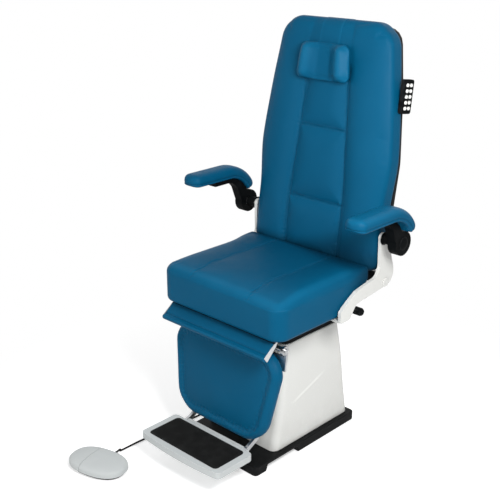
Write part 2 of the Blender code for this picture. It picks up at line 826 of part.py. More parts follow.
def build_base_cover(mats):
    """White tapered cover, the collar on its rim and the mains inlet in its rear wall."""
    place = inlet_frame()
    cut_out = centred(INLET_W + 2 * GAP, INLET_H + 2 * GAP)
    window = prism(cut_out, -INLET_DEPTH, INLET_DEPTH, place)
    shell = ring_wall(
        cover_outline(0.0, 0.0), cover_outline(1.0, 0.0),
        cover_outline(1.0, COVER_WALL), cover_outline(0.0, COVER_WALL),
        COVER_FOOT_Z, COVER_TOP_Z,
    )
    add_piece("base_cover", shell, mats["white"], minus=[window])

    outer = cover_outline(1.0, COLLAR_INSET)
    inner = cover_outline(1.0, COLLAR_INSET + COLLAR_W)
    collar = ring_wall(outer, outer, inner, inner, COLLAR_Z, COLLAR_TOP_Z)
    add_piece("cover_collar", collar, mats["black"])

    body = prism(centred(INLET_W, INLET_H), -INLET_DEPTH, GAP + INLET_RIM_T / 2, place)
    rim_outline = centred(INLET_W + 2 * INLET_RIM, INLET_H + INLET_RIM, INLET_WALL)
    rim = prism(rim_outline, GAP, GAP + INLET_RIM_T, place)
    socket_outline = centred(INLET_W - 2 * INLET_WALL, INLET_H - 2 * INLET_WALL)
    socket = prism(socket_outline, INLET_WALL - INLET_DEPTH, INLET_DEPTH, place)
    add_piece("mains_inlet", body, mats["black"], plus=[rim], minus=[socket])


def build_cord_gland(mats):
    """Gland whose spigot sits in the plate's rear edge, with a nut and a dome for the cord."""
    face = GAP
    nut = face + GLAND_NUT_T
    profile = [
        (GLAND_SPIGOT_R, -GLAND_SPIGOT_L), (GLAND_SPIGOT_R, face), (GLAND_NUT_R, face),
        (GLAND_NUT_R, nut), (GLAND_DOME_R, nut), (GLAND_DOME_R, nut + GLAND_DOME_L / 2),
        (2 * CORD_R, nut + GLAND_DOME_L),
    ]
    centre = (GLAND_X, PLATE_REAR, PLATE_T / 2)
    add_piece("cord_gland", turned(profile, centre, "Y", SMALL_SIDES), mats["black"])


def build_lift(mats):
    """Telescopic column and jack: the outer parts stand on the plate, the inner ones lift the tray."""
    inner_r = COLUMN_R - COLUMN_WALL
    foot = PLATE_T + GAP
    outer = [
        (inner_r, foot), (FLANGE_R, foot), (FLANGE_R, foot + FLANGE_T),
        (COLUMN_R, foot + FLANGE_T), (COLUMN_R, PLATE_T + COLUMN_H), (inner_r, PLATE_T + COLUMN_H),
    ]
    add_piece("lift_column", turned(outer, (0, 0, 0), closed=True), mats["dark_steel"])

    mast_r = inner_r - GAP
    top = TRAY_Z - GAP
    mast = [
        (mast_r, foot + MAST_FLOAT), (mast_r, top - MAST_CAP_T), (MAST_CAP_R, top - MAST_CAP_T),
        (MAST_CAP_R, top), (mast_r - MAST_WALL, top), (mast_r - MAST_WALL, foot + MAST_FLOAT),
    ]
    add_piece("lift_mast", turned(mast, (0, 0, 0), closed=True), mats["steel"], "carriage")

    half = JACK_BLOCK / 2
    block_outline = rounded_rect((-half, JACK_Y - half), (half, JACK_Y + half), half / 4)
    block = prism(block_outline, foot, foot + JACK_BLOCK_H, along_z)
    tube = rod((0, JACK_Y, foot + JACK_BLOCK_H / 2), JACK_H - JACK_BLOCK_H / 2, JACK_R, "Z", TURNED_SIDES)
    bore_z = foot + JACK_ROD_FLOAT - RUN
    bore = rod((0, JACK_Y, bore_z), JACK_H, JACK_ROD_R + GAP, "Z", TURNED_SIDES)
    add_piece("lift_jack", block, mats["black"], plus=[tube], minus=[bore])

    jack_rod = [
        (JACK_ROD_R, foot + JACK_ROD_FLOAT), (JACK_ROD_R, top - JACK_HEAD_T),
        (JACK_HEAD_R, top - JACK_HEAD_T), (JACK_HEAD_R, top),
    ]
    add_piece("lift_rod", turned(jack_rod, (0, JACK_Y, 0)), mats["steel"], "carriage")


def build_control_box(mats):
    """Control box on the plate in front of the column, with cooling ribs on its lid."""
    rear = -FLANGE_R - RUN
    half = CONTROL_W / 2
    foot = PLATE_T + GAP
    pitch = CONTROL_W / (2 * CONTROL_RIBS + 1)
    lid = foot + CONTROL_H
    outline = [(half, foot), (half, lid)]
    for i in range(CONTROL_RIBS):
        right = half - pitch * (2 * i + 1)
        floor = lid - pitch / 2
        outline += [(right, lid), (right, floor), (right - pitch, floor), (right - pitch, lid)]
    outline += [(-half, lid), (-half, foot)]
    add_piece("control_box", prism(outline, rear - CONTROL_D, rear, along_y), mats["black"])


def build_shroud(mats):
    """Black sleeve under the tray that slides up through the collar."""
    low = COLLAR_Z - LIFT_TRAVEL - SHROUD_OVERLAP
    high = TRAY_Z - GAP
    outer = rounded_rect((-SHROUD_HALF_W, -SHROUD_FRONT), (SHROUD_HALF_W, SHROUD_REAR), SHROUD_R)
    wall = SHROUD_WALL
    inner_low = (wall - SHROUD_HALF_W, wall - SHROUD_FRONT)
    inner_high = (SHROUD_HALF_W - wall, SHROUD_REAR - wall)
    inner = rounded_rect(inner_low, inner_high, SHROUD_R - wall)
    add_piece("lift_shroud", ring_wall(outer, outer, inner, inner, low, high), mats["black"], "carriage")


def build_tray(mats):
    """Folded tray that carries the seat, with a front lip and two ears for the leg shaft."""
    w, t, top = TRAY_HALF_W, TRAY_T, TRAY_TOP_Z
    half = w + TRAY_FLANGE
    section = [
        (-half, top), (-half, top - t), (-w, top - t), (-w, TRAY_Z), (w, TRAY_Z), (w, top - t),
        (half, top - t), (half, top), (w - t, top), (w - t, TRAY_Z + t), (t - w, TRAY_Z + t), (t - w, top),
    ]
    tray = prism(section, -TRAY_FRONT, TRAY_REAR, along_y)
    lip = box((-half, -LIP_FRONT, top - t), (half, t - TRAY_FRONT, top))
    reach = LEG_TOP - RUN
    ear_outline = filleted([
        (LEG_HINGE_Y - reach, LEG_HINGE_Z - reach, reach),
        (LEG_HINGE_Y + reach, LEG_HINGE_Z - reach, reach),
        (-EAR_REAR, TRAY_Z + t, reach), (-EAR_REAR, top - t / 2, 0), (LEG_HINGE_Y - reach, top - t / 2, 0),
    ])
    inside = w - EAR_T
    ears = [prism(ear_outline, side * inside, side * w, along_x) for side in (1, -1)]
    start = (-half, LEG_HINGE_Y, LEG_HINGE_Z)
    bore = rod(start, 2 * half, bore_r(LEG_SHAFT_R), "X")
    add_piece("seat_tray", tray, mats["dark_steel"], "carriage", plus=[lip, *ears], minus=[bore])


def seat_point(u, v, w):
    """World point of seat coordinates, which are the chair's own directions."""
    return Vector((u, v, w))


def build_seat_cushion(mats):
    """Deep seat cushion with a crowned top and two sewn lines along it."""
    pad = Pad(
        lambda v: SEAT_HALF_W, (-SEAT_FRONT, SEAT_REAR), (SEAT_Z, SEAT_Z + SEAT_T),
        SEAT_CORNER_R, SEAT_EDGE_R, SEAT_CROWN, SEAT_DRAW_IN, seat_point,
    )
    pad.channels.append(lambda u, v: groove(abs(u) - SEAT_PANEL_HALF_W))
    lines = [line / SEAT_HALF_W for line in beside(SEAT_PANEL_HALF_W)]
    add_piece("seat_cushion", pad.mesh(lines, (0.0,)), mats["vinyl"], "carriage")


def build_side_bracket(mats, side, hand):
    """White L bracket beside the seat, with the back hinge's hole and the arm's boss and spindle."""
    hy, hz = BACK_HINGE_Y, BACK_HINGE_Z
    ay, az = ARM_PIVOT_Y, ARM_PIVOT_Z
    flange_top = TRAY_TOP_Z - TRAY_T - GAP
    sole = flange_top - BRACKET_FLANGE_T
    knee = 2 * HINGE_PIN_R + BRACKET_T
    fillet = BRACKET_FILLET
    outline = filleted([
        (-BRACKET_TOE, sole, BRACKET_FLANGE_T), (BRACKET_HEEL, sole, fillet),
        (BRACKET_HEEL + knee, hz - knee, 2 * fillet), (hy - BRACKET_T, hz - HINGE_HEAD_R, 1.5 * fillet),
        (hy + knee, hz - HINGE_HEAD_R / 2, 1.5 * fillet),
        (hy + 3 * HINGE_HEAD_R, hz + knee, 2 * fillet),
        (ay + BOSS_R, az + BOSS_R, BOSS_R), (ay - BOSS_R, az + BOSS_R, BOSS_R),
        (hy - 2 * HINGE_HEAD_R, hz + 2 * knee, 1.5 * fillet),
        (hy - 3 * HINGE_HEAD_R, hz + knee, 1.5 * fillet),
        (BRACKET_HEEL + knee, hz + BRACKET_T, fillet), (BRACKET_HEEL - BRACKET_T, sole + 2 * knee, fillet),
        (-BRACKET_TOE, sole + BRACKET_TOE_H, fillet / 2),
    ])
    plate = prism(outline, side * BRACKET_X, side * BRACKET_OUT, along_x)
    inside = TRAY_HALF_W + GAP
    flange_end = BRACKET_HEEL - BRACKET_T / 2
    flange_outline = [
        (-BRACKET_TOE, sole), (flange_end, sole), (flange_end, flange_top), (-BRACKET_TOE, flange_top)
    ]
    flange = prism(flange_outline, side * inside, side * (BRACKET_X + BRACKET_T / 2), along_x)
    boss_start = (side * BRACKET_X, ay, az)
    boss = rod(boss_start, side * BOSS_L, BOSS_R, "X", TURNED_SIDES)
    spindle = rod(boss_start, side * (BOSS_L + SPINDLE_L), SPINDLE_R, "X")
    hole_start = (side * (BRACKET_X - RUN), hy, hz)
    hole = rod(hole_start, side * (BRACKET_T + 2 * RUN), HINGE_PIN_R + GAP, "X")
    name = "side_bracket_" + hand
    add_piece(name, plate, mats["white"], "carriage", plus=[flange, boss, spindle], minus=[hole])

    lug_inside = BRACKET_X - LUG_SIDE_GAP - LUG_T
    head = BRACKET_OUT + GAP
    pin_profile = [
        (HINGE_PIN_R, side * lug_inside), (HINGE_PIN_R, side * head),
        (HINGE_HEAD_R, side * head), (HINGE_HEAD_R, side * (head + HINGE_HEAD_T)),
    ]
    pin = turned(pin_profile, (0, hy, hz), "X", SMALL_SIDES)
    add_piece("back_hinge_pin_" + hand, pin, mats["steel"], "carriage")


def build_actuator(mats, name, x, tail, nose, towards):
    """Actuator in the tray: square body with a motor at its tail and a bore for its rod."""
    foot = TRAY_Z + TRAY_T + GAP
    high = ROD_Z + ACTUATOR_HALF
    body = box((x - ACTUATOR_HALF, min(tail, nose), foot), (x + ACTUATOR_HALF, max(tail, nose), high))
    ends = sorted((tail, tail + towards * MOTOR_L))
    motor_outline = rounded_rect((x - MOTOR_HALF_W, foot), (x + MOTOR_HALF_W, high), ACTUATOR_HALF / 2)
    motor = prism(motor_outline, ends[0] - RUN, ends[1], along_y)
    bore_end = tail + towards * MOTOR_L / 2
    start = (x, bore_end, ROD_Z)
    bore = rod(start, nose - bore_end + towards * RUN, ROD_R + GAP, "Y")
    add_piece(name, body, mats["black"], "carriage", plus=[motor], minus=[bore])


def build_rod(mats, name, tail, throw, towards):
    """Actuator rod, shown run out, with the cross pin that works in a crank's fork."""
    x, pin_y, _ = PIVOTS[name][0]
    buried = tail + towards * (MOTOR_L / 2 + 2 * RUN + 2 * throw)
    shaft = rod((x, buried, ROD_Z), pin_y + towards * CROSS_PIN_R - buried, ROD_R, "Y")
    pin = rod((x, pin_y, ROD_Z), towards * CROSS_PIN_L, CROSS_PIN_R, "X")
    add_piece(name, shaft, mats["steel"], name, plus=[pin])


def crank_solids(hinge, drop, swing, start_angle, x_low, x_high):
    """Forked crank's blank about a hinge, and the open slot that its actuator's pin runs in."""
    far = drop / math.cos(swing / 2)
    slot_half = CROSS_PIN_R + CRANK_SLACK
    wide = slot_half + CRANK_WALL

    def place(level, along, beside_line):
        y = hinge[0] + along * math.cos(start_angle) - beside_line * math.sin(start_angle)
        z = hinge[1] + along * math.sin(start_angle) + beside_line * math.cos(start_angle)
        return Vector((level, y, z))

    tip = far + CRANK_TIP
    blank = prism(rounded_rect((-CRANK_WALL, -wide), (tip, wide), CRANK_WALL), x_low, x_high, place)
    slot_outline = rounded_rect((drop - slot_half, -slot_half), (tip + wide, slot_half), slot_half)
    slot = prism(slot_outline, x_low - RUN, x_high + RUN, place)
    return blank, slot


def back_half_width(v):
    """Half width of the back: narrow between the brackets, full at the waist, less at the head."""
    root = BRACKET_X - BACK_ROOT_GAP
    swell = min(max((v - BACK_ROOT_TOP) / (BACK_WAIST_TOP - BACK_ROOT_TOP), 0.0), 1.0)
    swell = swell ** 2 * (3 - 2 * swell)
    share = max(0.0, (v - BACK_WAIST_TOP) / (BACK_TOP - BACK_WAIST_TOP))
    waist = root + (BACK_WAIST_HALF_W - root) * swell
    return waist + (BACK_HEAD_HALF_W - BACK_WAIST_HALF_W) * share ** 1.3


def panel_half_width(v):
    """Half width of the back's sewn centre panel."""
    share = (v - BACK_SEAM_LOW) / (BACK_SEAM_HIGH - BACK_SEAM_LOW)
    share = min(max(share, 0.0), 1.0)
    return BACK_PANEL_HALF_LOW + (BACK_PANEL_HALF_HIGH - BACK_PANEL_HALF_LOW) * share


def back_channels(u, v):
    """Depth of the back's sewn lines: two along the centre panel and two across it."""
    side = abs(u) - panel_half_width(v)
    depth = groove(side)
    if side < 0:
        depth = max(depth, groove(v - BACK_SEAM_LOW), groove(v - BACK_SEAM_HIGH))
    return depth


def back_pad():
    """Pad that shapes the back cushion."""
    pad = Pad(
        back_half_width, (BACK_BOTTOM, BACK_TOP), (BACK_REAR, BACK_FRONT),
        BACK_CORNER_R, BACK_EDGE_R, BACK_CROWN, BACK_DRAW_IN, back_point,
    )
    pad.channels.append(back_channels)
    return pad


def build_back(mats):
    """Back cushion, steel frame with hinge lugs and crank, and the rear shell."""
    pad = back_pad()
    middle = panel_half_width((BACK_SEAM_LOW + BACK_SEAM_HIGH) / 2) / BACK_WAIST_HALF_W
    spread = CHANNEL_W / BACK_WAIST_HALF_W
    across = (middle - 2.5 * spread, middle - spread, middle, middle + spread, middle + 2.5 * spread)
    along = (*beside(BACK_SEAM_LOW), *beside(BACK_SEAM_HIGH), BACK_WAIST_TOP, PILLOW_MID)
    add_piece("back_cushion", pad.mesh(across, along), mats["vinyl"], "back")

    face = BACK_REAR - GAP
    outside = BRACKET_X - LUG_SIDE_GAP
    bar_top = BAR_H / 2
    plate = box_in_back((-FRAME_HALF_W, -bar_top, face - FRAME_T), (FRAME_HALF_W, FRAME_TOP, face))
    bar = box_in_back((-outside, -bar_top, face - BAR_D), (outside, bar_top, face - FRAME_T / 2))
    lug_outline = filleted([
        (-LUG_R, LUG_R, LUG_R), (-LUG_R, face - BAR_D / 2, FRAME_T),
        (LUG_R, face - BAR_D / 2, FRAME_T), (LUG_R, LUG_R, LUG_R),
    ])
    lugs = []
    for side in (1, -1):
        lugs.append(prism(lug_outline, side * (outside - LUG_T), side * outside, back_point))
    crank_x = BACK_ROD_X + CROSS_PIN_L - CRANK_T - RUN
    angle = -math.pi / 2 + BACK_RECLINE / 2
    hinge = (BACK_HINGE_Y, BACK_HINGE_Z)
    crank, slot = crank_solids(hinge, BACK_DROP, BACK_RECLINE, angle, crank_x, crank_x + CRANK_T)
    bore = rod((-BRACKET_X, *hinge), 2 * BRACKET_X, bore_r(HINGE_PIN_R), "X")
    add_piece("back_frame", plate, mats["dark_steel"], "back", plus=[bar, *lugs, crank], minus=[slot, bore])

    build_back_shell(mats, face)


def box_in_back(low, high):
    """Box given in back coordinates."""
    outline = [(low[1], low[2]), (high[1], low[2]), (high[1], high[2]), (low[1], high[2])]
    return prism(outline, low[0], high[0], back_point)


def shell_rear():
    """Level of the rear shell's outer face in back coordinates."""
    return BACK_REAR - GAP - FRAME_T - GAP - SHELL_T


def build_back_shell(mats, face):
    """Rear shell that follows the cushion's outline and takes the frame's plate in a recess."""
    top = BACK_TOP - SHELL_INSET
    root = BRACKET_X - BACK_ROOT_GAP - SHELL_INSET
    waist = BACK_WAIST_HALF_W - SHELL_INSET
    shoulder = (BACK_WAIST_TOP + BACK_TOP) / 2
    outline = filleted([
        (-root, SHELL_BOTTOM, SHELL_FOOT_R), (root, SHELL_BOTTOM, SHELL_FOOT_R),
        (waist, BACK_WAIST_TOP, SHELL_SIDE_R),
        (back_half_width(shoulder) - SHELL_INSET, shoulder, SHELL_SIDE_R),
        (BACK_HEAD_HALF_W - SHELL_INSET, top, BACK_CORNER_R - SHELL_INSET / 2),
        (SHELL_INSET - BACK_HEAD_HALF_W, top, BACK_CORNER_R - SHELL_INSET / 2),
        (SHELL_INSET - back_half_width(shoulder), shoulder, SHELL_SIDE_R),
        (-waist, BACK_WAIST_TOP, SHELL_SIDE_R),
    ])

    def place(level, across, up):
        return back_point(across, up, level)

    shell = prism(outline, shell_rear(), face, place)
    depth = face - FRAME_T - GAP
    half = FRAME_HALF_W + GAP
    pocket = box_in_back((-half, SHELL_BOTTOM - RUN, depth), (half, FRAME_TOP + GAP, face + RUN))
    add_piece("back_shell", shell, mats["black"], "back", minus=[pocket])


def build_strap(mats):
    """Flat pillow strap that lies on the back's face, passes over its top and ends on its shell."""
    pad = back_pad()
    lift = GAP + STRAP_T / 2
    spine = []
    for v in pad.along((STRAP_LOW, PILLOW_MID)):
        if v >= STRAP_LOW - GAP:
            spine.append(pad.local(0.0, v, BACK_FRONT)[1:])
    middle = (BACK_FRONT + BACK_REAR) / 2
    for w in reversed(pad.through()):
        if middle < w < BACK_FRONT:
            spine.append(pad.local(0.0, BACK_TOP, w)[1:])
    tail_w = shell_rear() - lift
    over = [(BACK_TOP, middle), (BACK_TOP - BACK_EDGE_R / 4, BACK_REAR)]
    route = [Vector(point) for point in spine]
    rings = []
    centres = []
    for i, here in enumerate(route):
        before = route[max(i - 1, 0)]
        after = route[min(i + 1, len(route) - 1)]
        run = (after - before).normalized()
        centres.append(here + Vector((-run.y, run.x)) * lift)
    centres += [Vector((v + lift, w)) for v, w in over]
    centres += [Vector((BACK_TOP - SHELL_INSET + 2 * RUN, tail_w)), Vector((BACK_TOP - STRAP_TAIL, tail_w))]
    half = STRAP_T / 2
    for i, here in enumerate(centres):
        before = centres[max(i - 1, 0)]
        after = centres[min(i + 1, len(centres) - 1)]
        run = (after - before).normalized()
        out = Vector((-run.y, run.x)) * half
        inner, outer = here - out, here + out
        rings.append([
            back_point(-STRAP_HALF_W, *inner), back_point(STRAP_HALF_W, *inner),
            back_point(STRAP_HALF_W, *outer), back_point(-STRAP_HALF_W, *outer),
        ])
    add_piece("pillow_strap", loft(rings), mats["vinyl"], "back")


def pillow_half_width(v):
    """Half width of the head pillow, wider at its lower edge."""
    share = (v - PILLOW_MID) / PILLOW_H + 0.5
    return PILLOW_HALF_W_LOW + (PILLOW_HALF_W_HIGH - PILLOW_HALF_W_LOW) * share


def build_pillow(mats):
    """Head pillow with two lobes and a dip between them, resting on the strap."""
    rear = BACK_FRONT + BACK_CROWN + STRAP_T + 2 * GAP
    pad = Pad(
        pillow_half_width, (PILLOW_MID - PILLOW_H / 2, PILLOW_MID + PILLOW_H / 2),
        (rear, rear + PILLOW_T), PILLOW_EDGE_R, PILLOW_EDGE_R, 0.0, CHANNEL_DEPTH, back_point,
    )
    pad.swell = lambda u, v: -PILLOW_DIP * (1 - v ** 4) * math.exp(-((u / 0.36) ** 2))
    add_piece("head_pillow", pad.mesh((0.18, 0.36, 0.54), (PILLOW_MID,)), mats["vinyl"], "pillow")


def keypad_x():
    """Inner face of the keypad beside the back's widest point along it."""
    return back_half_width(KEYPAD_MID - KEYPAD_H / 2) + KEYPAD_SIDE_GAP


def button_places():
    """Rows and columns of the keypad's buttons as (v, w) centres."""
    mid_w = KEYPAD_FRONT - KEYPAD_W / 2
    places = []
    for row in range(BUTTON_ROWS):
        v = KEYPAD_MID + BUTTON_PITCH_V * ((BUTTON_ROWS - 1) / 2 - row)
        for column in (1, -1):
            places.append((v, mid_w + column * BUTTON_PITCH_W / 2))
    return places


def button_outline(centre, grow):
    """Plan of a button, or of the hole it moves in, as (v, w)."""
    v, w = centre
    half_v, half_w = BUTTON_HALF_V + grow, BUTTON_HALF_W + grow
    return rounded_rect((v - half_v, w - half_w), (v + half_v, w + half_w), half_v, 3)


def build_keypad(mats):
    """Keypad box on the back's side, held by a tab on the rear shell, with ten push buttons."""
    x0 = keypad_x()
    x1 = x0 + KEYPAD_T
    low, high = KEYPAD_MID - KEYPAD_H / 2, KEYPAD_MID + KEYPAD_H / 2
    outline = rounded_rect((low, KEYPAD_FRONT - KEYPAD_W), (high, KEYPAD_FRONT), KEYPAD_CORNER_R, 3)
    case = prism(outline, x0, x1, back_point)
    tab_w = shell_rear() - GAP
    tab_low, tab_high = KEYPAD_MID - KEYPAD_TAB_W / 2, KEYPAD_MID + KEYPAD_TAB_W / 2
    tab_rear = tab_w - KEYPAD_TAB_T
    tab = box_in_back((x0 - KEYPAD_TAB_W, tab_low, tab_rear), (x0 + KEYPAD_T / 2, tab_high, tab_w))
    joint_w = max(tab_w, KEYPAD_FRONT - KEYPAD_W + 2 * RUN)
    foot_low = (x0 + RUN, tab_low + RUN, tab_rear + KEYPAD_TAB_T / 4)
    foot = box_in_back(foot_low, (x0 + KEYPAD_T / 2 - GAP, tab_high - RUN, joint_w))
    floor = x1 - BUTTON_SKIRT - BUTTON_TRAVEL - GAP
    holes = [prism(button_outline(place, GAP), floor, x1 + RUN, back_point) for place in button_places()]
    add_piece("keypad_case", case, mats["black"], "back", plus=[tab, foot], minus=holes)

    for number, place in enumerate(button_places(), start=1):
        cap = prism(button_outline(place, 0.0), x1 - BUTTON_SKIRT, x1 + BUTTON_PROUD, back_point)
        rim = [e for e in cap.edges if all(v.co.x > x1 + BUTTON_PROUD / 2 for v in e.verts)]
        bmesh.ops.bevel(cap, geom=rim, offset=BUTTON_PROUD / 2, segments=1, affect="EDGES", profile=0.5)
        name = "button_%d" % number
        add_piece(name, cap, mats["button"], name)


def leg_half_width(s):
    """Half width of the leg cushion, narrowing towards the feet."""
    share = max(0.0, (s - LEG_TAPER_FROM) / (LEG_BOTTOM - LEG_TAPER_FROM))
    return LEG_HALF_W_TOP + (LEG_HALF_W_LOW - LEG_HALF_W_TOP) * share


def build_leg(mats):
    """Leg cushion on a steel back plate with hinge lugs, crank and footplate lugs, and its shaft."""
    pad = Pad(
        leg_half_width, (LEG_TOP, LEG_BOTTOM), (LEG_REAR, LEG_FRONT),
        LEG_CORNER_R, LEG_EDGE_R, LEG_CROWN, LEG_DRAW_IN, leg_point,
    )
    add_piece("leg_cushion", pad.mesh((0.4,), ((LEG_TOP + LEG_BOTTOM) / 2,)), mats["vinyl"], "leg")

    front = LEG_REAR - GAP
    rear = front - LEG_PLATE_T

    def upright(level, across, down):
        return leg_point(across, down, level)

    plate_outline = rounded_rect(
        (-LEG_PLATE_HALF_W, LEG_PLATE_TOP), (LEG_PLATE_HALF_W, LEG_PLATE_BOTTOM), LEG_LUG_R
    )
    plate = prism(plate_outline, rear, front, upright)
    outside = LEG_LUG_X + LEG_LUG_T
    wing_low = 3 * LEG_PLATE_TOP
    wing_outline = [(LEG_PLATE_TOP, rear), (wing_low, rear), (wing_low, front), (LEG_PLATE_TOP, front)]
    wing = prism(wing_outline, -outside, outside, leg_point)
    lug_outline = filleted([
        (-LEG_LUG_R, -LEG_LUG_R, LEG_LUG_R), (wing_low, rear, LEG_PLATE_T / 2), (wing_low, front, 0.0),
        (LEG_LUG_R, front, 0.0), (LEG_LUG_R, LEG_LUG_R, LEG_LUG_R), (-LEG_LUG_R, LEG_LUG_R, LEG_LUG_R),
    ])
    lugs = [prism(lug_outline, side * LEG_LUG_X, side * outside, leg_point) for side in (1, -1)]
    foot_lugs = [solid for side in (1, -1) for solid in foot_lug(side, rear, front)]
    crank_x = LEG_ROD_X - CROSS_PIN_L + RUN
    hinge = (LEG_HINGE_Y, LEG_HINGE_Z)
    angle = math.pi / 2 + LEG_RAISE / 2
    crank, slot = crank_solids(hinge, LEG_DROP, LEG_RAISE, angle, crank_x, crank_x + CRANK_T)
    tie_outline = [(0.0, rear), (2 * LEG_PLATE_TOP, rear), (2 * LEG_PLATE_TOP, front), (0.0, front)]
    tie = prism(tie_outline, crank_x, crank_x + CRANK_T, leg_point)
    bore = rod((-outside - RUN, *hinge), 2 * (outside + RUN), LEG_SHAFT_R + GAP, "X")
    foot_hinge = leg_point(0.0, FOOT_HINGE_DOWN, FOOT_HINGE_OUT)
    foot_start = (-FOOT_HALF_W, foot_hinge.y, foot_hinge.z)
    foot_bore = rod(foot_start, 2 * FOOT_HALF_W, bore_r(KNUCKLE_PIN_R), "X")
    add_piece(
        "leg_frame", plate, mats["steel"], "leg",
        plus=[wing, *lugs, *foot_lugs, crank, tie], minus=[slot, bore, foot_bore],
    )
    shaft_half = outside + LEG_SHAFT_OVER
    shaft = rod((-shaft_half, *hinge), 2 * shaft_half, LEG_SHAFT_R, "X")
    add_piece("leg_hinge_shaft", shaft, mats["steel"], "leg")


def foot_lug(side, rear, front):
    """Solids of an arm from the leg's back plate, under the cushion, to the eye on the footplate's axis."""
    half = FOOT_LUG_HALF
    hinge = Vector((FOOT_HINGE_DOWN, FOOT_HINGE_OUT))
    root = Vector((LEG_BOTTOM, (rear + front) / 2))
    run = (hinge - root).normalized()
    over = Vector((run.y, -run.x)) * half
    root = root - run * half
    slant = [tuple(root - over), tuple(hinge - over), tuple(hinge + over), tuple(root + over)]
    top = LEG_PLATE_BOTTOM - 2 * half
    stem = [(top, rear), (LEG_BOTTOM, rear), (LEG_BOTTOM, front), (top, front)]
    start = side * (FOOT_LUG_X - FOOT_LUG_T / 2)
    end = start + side * FOOT_LUG_T
    axis = leg_point(start, *hinge)
    eye = rod(axis, side * FOOT_LUG_T, FOOT_LUG_R, "X", TURNED_SIDES)
    return [prism(slant, start, end, leg_point), prism(stem, start, end, leg_point), eye]


def flap_depth(s):
    """Thickness of the knee flap's padding, which grows from its hinge to its lip."""
    share = (s - FLAP_START) / (FLAP_L - FLAP_START)
    return FLAP_T_ROOT + (FLAP_T_TIP - FLAP_T_ROOT) * share


def flap_surface(u, s, share):
    """World point of the flap's padding at a share of its depth, with a rounded lip."""
    near_lip = max(0.0, s - (FLAP_L - FLAP_LIP_R)) / FLAP_LIP_R
    pinch = 0.4 * (1 - math.sqrt(max(0.0, 1 - near_lip ** 2)))
    share = pinch + (1 - 2 * pinch) * share
    return flap_point(u, s, FLAP_TOP - flap_depth(s) * (1 - share))


def build_flap(mats):
    """Thin padded flap under the seat's front, on a metal plate with end cheeks and a hinge barrel."""
    inside = FLAP_HALF_W - FLAP_CHEEK_T - GAP
    us = [inside * share for share in (-1.0, -0.5, 0.0, 0.5, 1.0)]
    lip = FLAP_L - FLAP_LIP_R
    ss = [FLAP_START, (FLAP_START + lip) / 2, lip, lip + 0.6 * FLAP_LIP_R, lip + 0.9 * FLAP_LIP_R, FLAP_L]
    add_piece("knee_flap", box_shell(us, ss, [0.0, 0.5, 1.0], flap_surface), mats["vinyl"], "flap")

    def under(s):
        return FLAP_TOP - flap_depth(s) - GAP

    sheet = FLAP_PLATE_T
    start = FLAP_START - GAP
    end = lip - FLAP_PLATE_T
    web = [
        (0.0, -FLAP_BARREL_R / 2), (0.0, FLAP_BARREL_R / 2), (start, FLAP_TOP - GAP),
        (start, under(FLAP_START)),
        (end, under(end)), (end, under(end) - sheet), (FLAP_START, under(FLAP_START) - sheet),
    ]
    plate = prism(web, -FLAP_HALF_W, FLAP_HALF_W, flap_point)
    cheek = [
        (start, FLAP_TOP), (end + sheet, FLAP_TOP), (end + sheet, under(end)),
        (end, under(end) - sheet), (start, under(FLAP_START) - sheet),
    ]
    cheeks = []
    for side in (1, -1):
        cheeks.append(prism(cheek, side * (FLAP_HALF_W - FLAP_CHEEK_T), side * FLAP_HALF_W, flap_point))
    barrel = rod((-FLAP_HALF_W, FLAP_HINGE_Y, FLAP_HINGE_Z), 2 * FLAP_HALF_W, FLAP_BARREL_R, "X", 8)
    add_piece("flap_plate", plate, mats["steel"], "flap", plus=[*cheeks, barrel])


def build_footplate(mats):
    """Footplate frame with a bowed front and a rubber mat, hinged on the leg's lower lugs."""
    hinge = leg_point(0.0, FOOT_HINGE_DOWN, FOOT_HINGE_OUT)
    rear = hinge.y - FOOT_SETBACK
    front = rear - FOOT_L
    top = hinge.z + FOOT_RISE
    half = FOOT_HALF_W
    bow = arc_through((-half, front), (half, front), FOOT_BOW, 8)
    corner = FOOT_CORNER_R
    outline = rounded_ends(bow, half, rear, corner)
    slab = prism(outline, top - FOOT_T, top, along_z)
    border = FOOT_BORDER
    mat_low, mat_high = (border - half, front + border / 2), (half - border, rear - border / 2)
    pocket = prism(rounded_rect(mat_low, mat_high, corner), top - FOOT_RECESS, top + RUN, along_z)
    lug_inside = FOOT_LUG_X - FOOT_LUG_T / 2 - GAP
    barrel = rod((-lug_inside, hinge.y, hinge.z), 2 * lug_inside, KNUCKLE_R, "X")
    web_half = KNUCKLE_R / 2
    web = box((-lug_inside, rear - RUN, hinge.z - web_half), (lug_inside, hinge.y, hinge.z + web_half))
    pin_half = FOOT_LUG_X + FOOT_LUG_T
    pin = rod((-pin_half, hinge.y, hinge.z), 2 * pin_half, KNUCKLE_PIN_R, "X")
    add_piece("footplate_frame", slab, mats["grey"], "foot", plus=[web, barrel, pin], minus=[pocket])

    floor = top - FOOT_RECESS + GAP
    y0, y1 = mat_low[1] + GAP, mat_high[1] - GAP
    crest = floor + MAT_T
    pitch = (y1 - y0) / (2 * MAT_RIBS + 1)
    section = [(y1, floor), (y1, crest - RIB_H)]
    for i in range(MAT_RIBS):
        near = y1 - pitch * (2 * i + 1)
        section += [(near, crest - RIB_H), (near - pitch / 4, crest),
                    (near - 3 * pitch / 4, crest), (near - pitch, crest - RIB_H)]
    section += [(y0, crest - RIB_H), (y0, floor)]
    mat_half = half - border - GAP
    mat = prism(section, -mat_half, mat_half, along_x)
    trim_outline = rounded_rect((-mat_half, y0), (mat_half, y1), corner - GAP)
    blank = prism(trim_outline, floor - RUN, crest + RUN, along_z)
    add_piece("footplate_mat", mat, mats["rubber"], "foot", trim=[blank])


